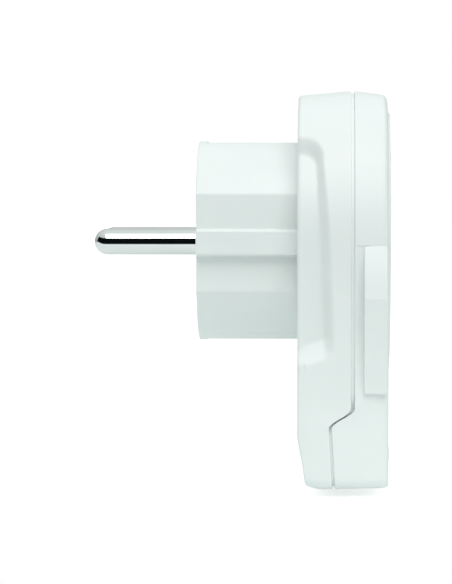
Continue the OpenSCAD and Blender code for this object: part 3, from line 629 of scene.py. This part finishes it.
BEAD_R, BEAD_H = 0.8, 0.35  # radius and height of a solder bead
LINK_PITCH, LINK_Z = 2.54, -39.4  # spacing and height of the pins between the boards
link_beads = [((i - 2.5) * LINK_PITCH, LINK_Z) for i in range(6)]
soldered("main_board", [(x, -25.5) for x in (-6, 4.4, 7)] + [(x, -34.9) for x in (-18.4, -10.8)]
         + [(-19.5, z) for z in (-25.7, -30.7)] + [(x, LINK_Z) for x in (8.6, 17.4)] + link_beads)

# ---- Chips ----
# Black epoxy packages with tinned legs along two sides: a metering chip, a rectifier and, on
# the display board, the processor. A moulded dimple marks the first leg.

# Transfer-moulded epoxy: near black and matt
chip_epoxy = plastic("black_moulding_epoxy", "232427", "1B1C1F", 0.5, 0.15, 0.004, 1.55)
# Tinned copper: pale silver, soft
tinned_leg = metal("tinned_leg", "C3C4C6", "B4B6B8", 0.28, 0.2, 0.001)


LEG_W, LEG_T, LEG_REACH = 0.36, 0.16, 1.0  # width, thickness and reach of a chip's leg


def chip(node, legs, up):
    """A chip in its CAD box: a body with drafted sides and bent legs along two sides. It stands
    up towards the front at 1 and towards the rear at -1."""
    low, high = reach(node)
    x, z = centre(low, high)
    foot, top = (low.z, high.z) if up > 0 else (high.z, low.z)
    half_h = (high.y - low.y) / 2
    bm = bmesh.new()
    body = block(bm, (low.x, low.y + LEG_REACH, foot + up * 0.15), (high.x, high.y - LEG_REACH, top))
    middle = (foot + top) / 2
    slanted = [v for v in body if (v.co.z - middle) * up > 0]
    bmesh.ops.scale(bm, verts=slanted, vec=(0.96, 0.94, 1), space=Matrix.Translation((-x, -z, 0)))
    roll(bm, creases(bm, 40), 0.12, 3)
    dimple = bmesh.new()
    turned(dimple, [(0, -up * 0.12), (0.3, -up * 0.12), (0.38, up * 0.3), (0, up * 0.3)],
           (low.x + 0.9, z + half_h * 0.35), 24, top)
    bm = combined(bm, dimple)
    body_faces = set(bm.faces)
    pitch = (high.x - low.x) / legs
    for i in range(legs):
        for side in (-1, 1):
            at = x + (i - (legs - 1) / 2) * pitch - LEG_W / 2
            inner, outer = z + side * (half_h - LEG_REACH - 0.05), z + side * half_h
            knee = z + side * (half_h - 0.45)
            shoulder = foot + up * abs(top - foot) * 0.45
            over, beyond = up * LEG_T, side * LEG_T
            bends = [(inner, shoulder), (knee, shoulder), (knee, foot), (outer, foot),
                     (outer, foot + over), (knee + beyond, foot + over),
                     (knee + beyond, shoulder + over), (inner, shoulder + over)]
            strip = bm.faces.new([bm.verts.new((at, *bend)) for bend in bends])
            far_side = bmesh.ops.extrude_face_region(bm, geom=[strip])["geom"]
            bmesh.ops.translate(bm, verts=verts_of(far_side), vec=(LEG_W, 0, 0))
    second_material(bm, body_faces)
    piece(bm, node + "_packaged", "chip_epoxy", [chip_epoxy, tinned_leg], node)


chip("metering_chip", 8, 1)
chip("rectifier", 2, 1)
chip("processor_chip", 9, -1)

# ---- Capacitors and varistor ----
# A moulded yellow suppression capacitor, a lying can in a shrunk dark sleeve with a bare
# aluminium end, and a disc varistor dipped in blue lacquer.

# A moulded case: even yellow with a low gloss
yellow_case = plastic("yellow_capacitor_case", "E2B93A", "DAB02F", 0.35, 0.3, 0.004)
low, high = reach("x2_capacitor")
case = lone_block(low, high)
roll(case, creases(case, 40), 0.35, 4)
piece(case, "x2_capacitor_moulded", "capacitor_case", [yellow_case], "x2_capacitor")

# Shrunk plastic film: dark blue and glossy
shrink_sleeve = plastic("dark_shrink_sleeve", "24283A", "1E2131", 0.3, 0.6, 0.004, 1.5)
# Bare drawn aluminium: pale silver
can_aluminium = metal("drawn_aluminium_can", "D5D7D8", "C9CBCD", 0.25, 0.2, 0.001)
low, high = reach("reservoir_capacitor")
can_r, can_len = (high.y - low.y) / 2, high.x - low.x
can = bmesh.new()
turned(can, [(0, 0.12), (1.25, 0.12), (1.35, 0)] + arc((can_r - 0.35, 0.35), 0.35, -90, 0) + [
    (can_r, 0.9), (can_r - 0.2, 1.15), (can_r - 0.2, 1.45), (can_r, 1.7)] + arc(
    (can_r - 0.3, can_len - 0.3), 0.3, 0, 80) + [
    (1.55, can_len - 0.02), (1.5, can_len - 0.12), (0, can_len - 0.12)], steps=56)
sleeve_end = can_len - 0.15
for face in can.faces:
    middle = face.calc_center_median()
    face.material_index = 1 if middle.z > sleeve_end and math.hypot(middle.x, middle.y) < 1.6 else 0
bmesh.ops.transform(can, verts=can.verts, matrix=Matrix.Translation(
    (low.x, (low.y + high.y) / 2, (low.z + high.z) / 2)) @ Matrix.Rotation(math.radians(90), 4, "Y"))
piece(can, "reservoir_capacitor_sleeved", "capacitor_sleeve", [shrink_sleeve, can_aluminium],
      "reservoir_capacitor")

# Dipped lacquer: glossy blue with a slight orange peel
blue_lacquer = plastic("blue_dipped_lacquer", "2F5F9E", "28538C", 0.25, 1.2, 0.02, 1.5)
low, high = reach("varistor")
disc_r, disc_t = (high.x - low.x) / 2, high.z - low.z
disc = bmesh.new()
turned(disc, [(0, 0), (disc_r - 1.1, 0.02)] + arc((disc_r - 1.0, 1.0), 1.0, -80, 0, 8) + arc(
    (disc_r - 1.0, disc_t - 1.0), 1.0, 0, 80, 8) + [(0, disc_t)],
       centre(low, high), 56, low.z)
piece(disc, "varistor_dipped", "varistor_lacquer", [blue_lacquer], "varistor")

# ---- Fuse resistor and shunt ----
# A green lacquered fusible resistor with pinched ends and tinned wires, and a manganin bar
# bridged across two copper feet, which measures the current.

# Baked lacquer: grey green with a slight orange peel
green_lacquer = plastic("green_resistor_lacquer", "A9BFA0", "9DB494", 0.35, 0.5, 0.008, 1.5)
low, high = reach("fuse_resistor")
wire_len, rod_r = high.x - low.x, 1.3
rod = bmesh.new()
turned(rod, [(0, 1.1)] + arc((rod_r - 0.45, 1.55), 0.45, -90, 0) + [
    (rod_r, 2.3), (rod_r - 0.12, 2.8), (rod_r - 0.12, wire_len - 2.8), (rod_r, wire_len - 2.3)] + arc(
    (rod_r - 0.45, wire_len - 1.55), 0.45, 0, 90) + [(0, wire_len - 1.1)], steps=40)
rod_faces = set(rod.faces)
turned(rod, [(0, 0.15), (0.35, 0.15), (0.35, wire_len - 0.15), (0, wire_len - 0.15)], steps=16)
axis = Vector((low.x, LINK_Z, low.z + 0.1 + rod_r))
bmesh.ops.transform(rod, verts=rod.verts,
                    matrix=Matrix.Translation(axis) @ Matrix.Rotation(math.radians(90), 4, "Y"))
for x in (low.x, high.x - 0.4):
    block(rod, (x, LINK_Z - 0.2, low.z), (x + 0.4, LINK_Z + 0.2, axis.z + 0.3))
second_material(rod, rod_faces)
piece(rod, "fuse_resistor_lacquered", "resistor_lacquer", [green_lacquer, tinned_leg],
      "fuse_resistor")

# A copper alloy: pinkish brown, half bright
manganin = metal("manganin_strip", "B98765", "AE7B59", 0.3, 0.2, 0.001, (0.1, 1, 1))
as_drawn("shunt", "bridged", 0.12, "shunt_alloy", manganin, segments=3)

# ---- Backup battery and its clip ----
# A steel coin cell that keeps the readings, under a sprung nickel-plated clip that is soldered
# to the main board.

# Pressed stainless steel: cool silver
cell_steel = metal("cell_stainless_steel", "C6C7C9", "BABCBE", 0.22, 0.15, 0.001)
low, high = reach("backup_battery")
cell_r, cell_t = (high.x - low.x) / 2, high.z - low.z
cell = bmesh.new()
turned(cell, [(0, 0), (cell_r - 1.1, 0)] + arc((cell_r - 1.05, 0.25), 0.25, -90, 0, 4) + [
    (cell_r - 0.8, 0.34), (cell_r - 0.12, 0.34), (cell_r, 0.45), (cell_r, cell_t - 0.4)] + arc(
    (cell_r - 0.35, cell_t - 0.35), 0.35, 0, 90) + [(0, cell_t)],
       centre(low, high), 72, low.z)
piece(cell, "backup_battery_crimped", "battery_steel", [cell_steel], "backup_battery")
as_drawn("battery_clip", "bent", 0.1, "strap_nickel", strip_nickel)

# ---- Board link ----
# A black nylon header with six square tinned pins that carries power and data between the
# boards. The pins are pressed through it and soldered into both boards.


def laid_in(bm, other):
    """Adds a separate closed shape to the ones that are already there."""
    mesh = bpy.data.meshes.new("blank")
    other.to_mesh(mesh)
    other.free()
    bm.from_mesh(mesh)
    bpy.data.meshes.remove(mesh)


# Black nylon: smooth, low gloss
header_nylon = plastic("black_header_nylon", "26272A", "1F2023", 0.45, 0.3, 0.004)
low, high = reach("board_link")
link = lone_block(low, (high.x, high.y, low.z + 2.5))
for i in range(5):
    for edge_z, way in ((low.y, 1), (high.y, -1)):
        spot = (i - 2) * LINK_PITCH
        link = combined(link, lone_block((spot - 0.3, edge_z - way * 0.2, low.z - 1),
                                        (spot + 0.3, edge_z + way * 0.3, low.z + 4)))
roll(link, creases(link, 60), 0.08, 2)
header_faces = set(link.faces)
for x, z in link_beads:
    link_pin = lone_block((x - 0.32, z - 0.32, low.z + 2), (x + 0.32, z + 0.32, high.z))
    roll(link_pin, creases(link_pin, 60), 0.06, 1)
    laid_in(link, link_pin)
second_material(link, header_faces)
piece(link, "board_link_header", "header_plastic", [header_nylon, tinned_leg], "board_link")

# ---- Display board and crystal ----
# The second green board, screwed to the front shell's posts, with the clock's crystal in its
# drawn steel can.
soldered("display_board", [(x, -33.4) for x in (4.9, 8.1)] + link_beads)
low, high = reach("crystal")
steel_can = lone_block(low, high)
roll(steel_can, creases(steel_can, 60, lambda m: low.z + 0.1 < m.z < high.z - 0.1), 0.7, 5)
roll(steel_can, creases(steel_can, 60, lambda m: m.z < low.z + 0.1), 0.25, 3)
piece(steel_can, "crystal_can", "battery_steel", [cell_steel], "crystal")

# ---- Display ----
# A black frame clipped to the board holds the display glass over two strips of striped
# silicone rubber, which carry the signals from the board to the glass.

# Black ABS: matt, so that it gives no glare beside the glass
frame_abs = plastic("black_frame_abs", "242528", "1C1D20", 0.5, 0.25, 0.005)
as_drawn("lcd_frame", "moulded", 0.18, "header_plastic", frame_abs)


def striped_rubber(name, pale, dark, pitch):
    """Silicone rubber in fine layers, dark where it is loaded with carbon."""
    material, tree, place = blank_material(name)
    layers = add(tree, "TexWave", {"Vector": place, "Scale": 1 / (pitch * MM * math.tau * 2)},
                 bands_direction="X", wave_type="BANDS")
    tone = add(tree, "ValToRGB", {"Fac": layers.outputs["Fac"]}, [(0.4, dark), (0.6, pale)])
    tone.color_ramp.interpolation = "EASE"
    return surface(material, tree, tone, layers.outputs["Fac"], 0.01, {"Roughness": 0.6, "IOR": 1.41})


contact_rubber = striped_rubber("carbon_striped_silicone", "C4C7CA", "3A3B3E", 0.4)
as_drawn("contact_strips", "cut", 0.2, "contact_rubber", contact_rubber)

# The glass is two bonded sheets. The segments that are on look dark through the grey-green
# polariser, and the digits are plain seven-segment ones.
lcd_glass = plastic("grey_green_polariser", "A7B39A", "A2AE95", 0.22, 0.2, 0.001, 1.5)
segment_ink = plastic("switched_on_segments", "23291F", "1F251C", 0.3, 0.2, 0.001, 1.5)
low, high = reach("lcd_glass")
glass = bmesh.new()
block(glass, low, (high.x, high.y, high.z - 0.75))
block(glass, (low.x, low.y + 0.6, high.z - 0.75), (high.x, high.y - 0.2, high.z - 0.03))
roll(glass, creases(glass, 60), 0.06, 2)
glass_faces = set(glass.faces)
INK, GAP, SLANT = 0.05, 0.12, 0.12  # a segment's thickness, its gaps, and the digits' slant
LINE_Z = (low.y + high.y) / 2 - 3.1  # the digits' base line
# A digit's segments, and the ends of each on a digit one unit wide and one tall
DIGITS = {"0": "abcdef", "2": "abged", "3": "abgcd", "5": "afgcd"}
ENDS = {"a": ((0, 1), (1, 1)), "b": ((1, 1), (1, 0.5)), "c": ((1, 0.5), (1, 0)),
        "d": ((1, 0), (0, 0)), "e": ((0, 0), (0, 0.5)), "f": ((0, 0.5), (0, 1)),
        "g": ((0, 0.5), (1, 0.5))}


def digit(bm, x, wide, tall, which, width):
    """A slanted digit of thin bars with pointed ends, at a place along the display."""
    for name in DIGITS[which]:
        a, b = (Vector((x + p * wide + SLANT * q * tall, LINE_Z + q * tall, high.z - INK))
                for p, q in ENDS[name])
        way = (b - a).normalized()
        out = Vector((-way.y, way.x, 0)) * width / 2
        start, end, point = a + way * GAP, b - way * GAP, way * width / 2
        corners = [start, start + point + out, end - point + out, end, end - point - out,
                   start + point - out]
        bar = bm.faces.new([bm.verts.new(corner) for corner in corners])
        top = bmesh.ops.extrude_face_region(bm, geom=[bar])["geom"]
        bmesh.ops.translate(bm, verts=verts_of(top), vec=(0, 0, INK))


for number, which in enumerate("0230"):
    digit(glass, -8.6 + 4.3 * number, 2.6, 4.6, which, 0.6)
block(glass, (3.35, LINE_Z - 0.3, high.z - INK), (3.95, LINE_Z + 0.3, high.z))
for number, which in enumerate("05"):
    digit(glass, 9.4 + 2.4 * number, 1.3, 2.3, which, 0.36)
for number in range(5):
    x = -8.6 + 3.4 * number
    block(glass, (x, LINE_Z + 5.7, high.z - INK), (x + 2, LINE_Z + 6.2, high.z))
second_material(glass, glass_faces)
piece(glass, "lcd_glass_bonded", "lcd_glass", [lcd_glass, segment_ink], "lcd_glass")

# ---- Keys, plungers and switches ----
# Three grey rubber-feel keys with a retaining flange. Each rides on its own switch plunger,
# which slides in a black switch on the display board.

# Soft-touch plastic: blue grey and matt
key_grey = plastic("soft_grey_key_plastic", "9AA4A6", "929C9E", 0.5, 0.3, 0.005)
# Acetal: slippery, slightly shiny yellow
plunger_yellow = plastic("yellow_acetal_plunger", "D2BC55", "C8B14B", 0.3, 0.3, 0.003, 1.48)
as_drawn("key_switches", "moulded", 0.12, "header_plastic", header_nylon)
for name in ("left", "middle", "right"):
    as_drawn(name + "_key", "moulded", 0.2, "key_plastic", key_grey, name + "_key", 3)
    as_drawn(name + "_plunger", "moulded", 0.12, "plunger_plastic", plunger_yellow, name + "_key")

# ---- Socket cup ----
# The round socket recess with its raised collar, moulded in a brighter white. Its floor has
# two pin entries and two slots for the earth springs, and four guide ribs keep a plug upright.

# Polyamide: a cleaner, shinier white than the shells
socket_white = plastic("bright_white_polyamide", "F3F6F5", "F0F4F3", 0.3, 0.3, 0.003)
as_drawn("socket_cup", "moulded", 0.12, "socket_plastic", socket_white, segments=3)

# ---- Front shell ----
# The front half of the housing, of the same white ABS, with a softly rounded front edge. It
# has the collar's opening, the display window's seat, the key holes and the grips' seats.
FRONT = reach("front_shell")[1].z  # depth of the front face
DEPTH = FRONT - REAR
SKIRT = 0.95  # thickness of the skirt that covers the tongue
EDGE_DEPTH, EDGE_WIDTH = 1.0, 1.8  # the rounded front edge
POCKET_END = 16.2  # where the shallow pockets under the grips end, from the rear face
POCKET_TOP, POCKET_FOOT = -0.36, -26.8
POCKET_X, POCKET_BOW, POCKET_SLOPE = 27.72, 0.36, 0.25  # the pocket's floor and its two bends
front_edge = [(DEPTH - EDGE_DEPTH * (1 - math.sin(a)), EDGE_WIDTH * (1 - math.cos(a)) ** 1.25)
              for a in (math.radians(9 * i) for i in range(11))]
front_steps = [(14.6, WALL), (13.2, WALL), (12.0, WALL), (11.5, WALL), (11.5, SKIRT), (10.4, SKIRT),
               (10.4, 0.15), (10.44, 0.04), (10.53, 0)] + [
    (10.8 + 0.3 * i, 0) for i in range(16)] + front_edge
pocket_heights = [-0.2, POCKET_TOP, POCKET_TOP - 0.12, -1.2] + [-2.4 - 1.2 * i for i in range(20)] + [
    POCKET_FOOT + 0.12, POCKET_FOOT, POCKET_FOOT - 0.12, -28.4] + JOG_HEIGHTS
front = bmesh.new()
carried(front, outline(front, pocket_heights), front_steps)
shaped(front, 1)
layer = front.verts.layers.float["inset"]
for w in front.verts:
    v = w.co.z - REAR
    if w[layer] < SKIRT - 0.05 and POCKET_FOOT - 0.06 < w.co.y < POCKET_TOP + 0.06 and v < POCKET_END:
        bow = math.sin(math.pi * (POCKET_TOP - w.co.y) / (POCKET_TOP - POCKET_FOOT))
        floor_x = POCKET_X - POCKET_BOW * max(0, bow) - POCKET_SLOPE * eased((v - 10.45) / 1.6)
        w.co.x = math.copysign(min(abs(w.co.x), floor_x), w.co.x)
close_ends(front)

BOARD_SCREWS = [(s * 18.8, z) for s in (-1, 1) for z in (-26, -39.6)]
seats = bmesh.new()
for x, z, sink in CASE_SCREWS:
    turned(seats, [(0, 10.7), (POST_R - 0.1, 10.7), (POST_R, 10.9), (POST_R, 14.4),
                   (POST_R + 0.2, 14.9), (0, 14.9)], (x, z), 40, REAR)
for spot in BOARD_SCREWS:
    turned(seats, [(0, 28.5), (1.5, 28.5), (1.5, 33.4), (0, 33.4)], spot, 36)
front = combined(front, seats, "UNION")
cuts = bmesh.new()
turned(cuts, [(0, 28), (21.45, 28), (21.45, 34.3), (24.1, 34.3), (24.1, FRONT - 0.12),
              (24.25, FRONT + 0.02), (24.25, FRONT + 1), (0, FRONT + 1)], steps=144)
for x, z, sink in CASE_SCREWS:
    turned(cuts, [(0, 10), (1.15, 10), (1.15, 14.2), (0, 14.2)], (x, z), 32, REAR)
for spot in BOARD_SCREWS:
    turned(cuts, [(0, 28), (0.85, 28), (0.85, 32.1), (0, 32.1)], spot, 24)
front = combined(front, cuts)


def pill_cutter(x, z, wide, tall, end, chamfer):
    """A cutter for a key's hole, with round ends, that opens out a little at the front."""
    bm = bmesh.new()
    bmesh.ops.create_circle(bm, cap_ends=False, radius=tall / 2, segments=40)
    for v in bm.verts:
        if abs(v.co.x) > 1e-5:
            v.co.x += math.copysign((wide - tall) / 2, v.co.x)
        v.co.z = end - 7
    edges = bm.edges[:]
    for depth, grow in ((end - chamfer, 0), (end + 0.02, chamfer), (end + 1, 0)):
        made = bmesh.ops.extrude_edge_only(bm, edges=edges)["geom"]
        edges = [e for e in edges_of(made) if e.is_boundary]
        for v in verts_of(made):
            v.co = (v.co.x * (1 + 2 * grow / wide), v.co.y * (1 + 2 * grow / tall), depth)
    close_ends(bm)
    bmesh.ops.translate(bm, verts=bm.verts, vec=(x, z, 0))
    return bm


KEY_GAP, KEY_Z, KEY_HOLE_W, KEY_HOLE_H = 12.0, -38.4, 8.8, 3.4
for i in (-1, 0, 1):
    front = combined(front, pill_cutter(i * KEY_GAP, KEY_Z, KEY_HOLE_W, KEY_HOLE_H, FRONT, 0.15))
# The window's hole is 1 mm smaller than the pane all round, and its seat 0.1 mm larger
low, high = reach("display_window")
for grow, start in ((-1, 28), (0.1, FRONT - 1.1)):
    window_cut = lone_block((low.x - grow, low.y - grow, start),
                            (high.x + grow, high.y + grow, FRONT + 1))
    if grow > 0:
        roll(window_cut, creases(window_cut, 60, lambda m: start + 0.1 < m.z < FRONT + 0.9), 0.7, 6)
    front = combined(front, window_cut)
for side in (-1, 1):
    # The grip's tongue snaps in here
    front = combined(front, lone_block((side * 24, -19.65, REAR + 12.2), (side * 28, -7.45, REAR + 14)))
piece(front, "front_shell_moulding", "housing_plastic", [housing_abs], "front_shell", sharp=38)

# ---- Display window ----
# A clear acrylic pane, moulded smooth on both sides and glued flush into its seat in the front
# shell.

# Acrylic: clear and colourless, with sharp reflections
clear_acrylic = plastic("clear_acrylic", "E4ECEC", "E0E9E9", 0.08, 0.4, 0.0004, 1.49, alpha=0.16)
as_drawn("display_window", "pane", 0.12, "window_plastic", clear_acrylic, segments=3)

# ---- Side grips ----
# Wedge-shaped pull grips of the same white ABS, one on each side, to pull the meter out of the
# wall. A tongue with two hooks snaps each into the front shell's side.
for name in ("left_grip", "right_grip"):
    piece(refined(name, 0.22, 3, 30), name + "_moulded", "housing_plastic", [housing_abs],
          name, sharp=6)

# ---- Screws ----
# Zinc-plated pan-head screws with a cross recess and a rolled thread: four long ones join the
# shells from the rear, four short ones hold the display board.

# Bright zinc plate: bluish silver
zinc_steel = metal("zinc_plated_steel", "B9BCC0", "ABAEB3", 0.3, 0.15, 0.001)


THREAD, CROSS = 0.22, 0.2  # depth of the thread, and half width of the cross recess


def screws(node, spots, head_r, head_t, shank_r, pitch):
    """A node's screws, each at an [x, height, depth of its head] spot."""
    whole = bmesh.new()
    for x, z, head in spots:
        end = reach(node)[1].z - head
        first = head_t + 0.2
        thread = [point for i in range(int((end - head_t - 1.0) / pitch)) for point in (
            (shank_r, first + pitch * (i + 0.3)), (shank_r - THREAD, first + pitch * (i + 0.8)))]
        one = bmesh.new()
        turned(one, [(0, 0.02)] + arc((head_r - 0.45, 0.47), 0.45, -90, 0) + [
            (head_r, head_t), (shank_r - THREAD, head_t)] + thread + [
            (shank_r - 0.3, end - 0.6), (0.15, end), (0, end)], (x, z), 36, head)
        for across, up in ((head_r * 0.62, CROSS), (CROSS, head_r * 0.62)):
            one = combined(one, lone_block((x - across, z - up, head - 1),
                                          (x + across, z + up, head + head_t * 0.45)))
        laid_in(whole, one)
    piece(whole, node + "_set", "screw_steel", [zinc_steel], node)


screws("case_screws", [(x, z, REAR + sink - 1.1) for x, z, sink in CASE_SCREWS], 1.9, 1.1, 1.1, 0.8)
screws("board_screws", [(*spot, reach("board_screws")[0].z) for spot in BOARD_SCREWS],
       1.5, 0.8, 0.8, 0.5)

# ---- Floor, light and camera ----
# A pale paper floor a little below the meter, an even studio with a large softbox overhead, and
# a long-lens camera that looks straight at the meter's side. Sizes here are in metres.
FLOOR_GAP = 0.0015  # the meter hangs a little above the floor, as in its socket
FLOOR_HALF, FLOOR_EDGE = 1.5, -0.12  # half the floor's size, and its edge on the camera's side
floor = bmesh.new()
bmesh.ops.create_grid(floor, x_segments=1, y_segments=1, size=FLOOR_HALF)
bmesh.ops.translate(floor, verts=floor.verts, vec=(
    FLOOR_EDGE + FLOOR_HALF, 0, cad_box[0][2] - FLOOR_GAP))
floor_mesh = bpy.data.meshes.new("floor")
floor.to_mesh(floor_mesh)
floor.free()
placed("floor", floor_mesh)
# White paper with a glow of its own, so that it reads as a lit white sweep
floor_paper, tree = blank_material("white_paper_floor")[:2]
paper = add(tree, "BsdfPrincipled", {"Base Color": linear("EBF0EF"), "Roughness": 0.9})
seen = add(tree, "Math", {0: add(tree, "LightPath").outputs["Is Camera Ray"], 1: 0.56, 2: 0.08},
           operation="MULTIPLY_ADD")
glow = add(tree, "Emission", {"Color": linear("FFFFFF"), "Strength": seen.outputs[0]})
sweep = add(tree, "AddShader", {0: paper.outputs[0], 1: glow.outputs[0]})
add(tree, "OutputMaterial", {"Surface": sweep.outputs[0]})
floor_mesh.materials.append(floor_paper)

world = bpy.data.worlds.new("studio")
bpy.context.scene.world = world
world.use_nodes = True
tree = world.node_tree
tree.nodes.clear()
rays = add(tree, "LightPath")
way = add(tree, "SeparateXYZ", {"Vector": add(tree, "TexCoord").outputs["Generated"]})
# The fill light is soft, a little cool, and brighter from above
fill = add(tree, "MapRange", {"Value": way.outputs["Z"], "To Min": 0.42, "To Max": 0.9})
tint = add(tree, "Background", {"Color": linear("F8FFFD"), "Strength": fill.outputs["Result"]})
# A dark flag on one side of the room, which only glossy pieces reflect
beside = add(tree, "Math", {0: way.outputs["X"], 1: way.outputs["Y"]}, operation="SUBTRACT")
flag = rays.outputs["Is Glossy Ray"]
for value, outer, inner in ((way.outputs["Z"], 0.55, 0.49), (way.outputs["Z"], -0.36, -0.30),
                            (beside.outputs[0], -0.75, -0.82)):
    edge = add(tree, "MapRange", {"Value": value, "From Min": outer, "From Max": inner},
               interpolation_type="SMOOTHSTEP")
    flag = add(tree, "Math", {0: flag, 1: edge.outputs["Result"]}, operation="MULTIPLY").outputs[0]
dark = add(tree, "Background", {"Color": linear("0A0F10")})
room = add(tree, "MixShader", {0: flag, 1: tint.outputs[0], 2: dark.outputs[0]})
white = add(tree, "Background", {"Color": linear("FFFFFF")})
seen = add(tree, "MixShader", {0: rays.outputs["Is Camera Ray"], 1: room.outputs[0],
                               2: white.outputs[0]})
add(tree, "OutputWorld", {"Surface": seen.outputs[0]})

softbox = bpy.data.lights.new("softbox", "AREA")
softbox.energy = 6.6
softbox.size = 0.95
softbox_object = placed("softbox", softbox)
softbox_object.location = (-0.74, -0.14, 0.97)
softbox_object.rotation_euler = softbox_object.location.to_track_quat("Z", "Y").to_euler()

camera = bpy.data.cameras.new("camera")
camera.lens = 186.3
camera.sensor_width = 36
camera_object = placed("camera", camera)
camera_object.location = (-0.565, -0.0256, 0.0128)
aim = Vector((0, -0.00486, -0.00963))
camera_object.rotation_euler = (aim - camera_object.location).to_track_quat("-Z", "Y").to_euler()
bpy.context.scene.camera = camera_object
bpy.context.scene.view_settings.view_transform = "Standard"
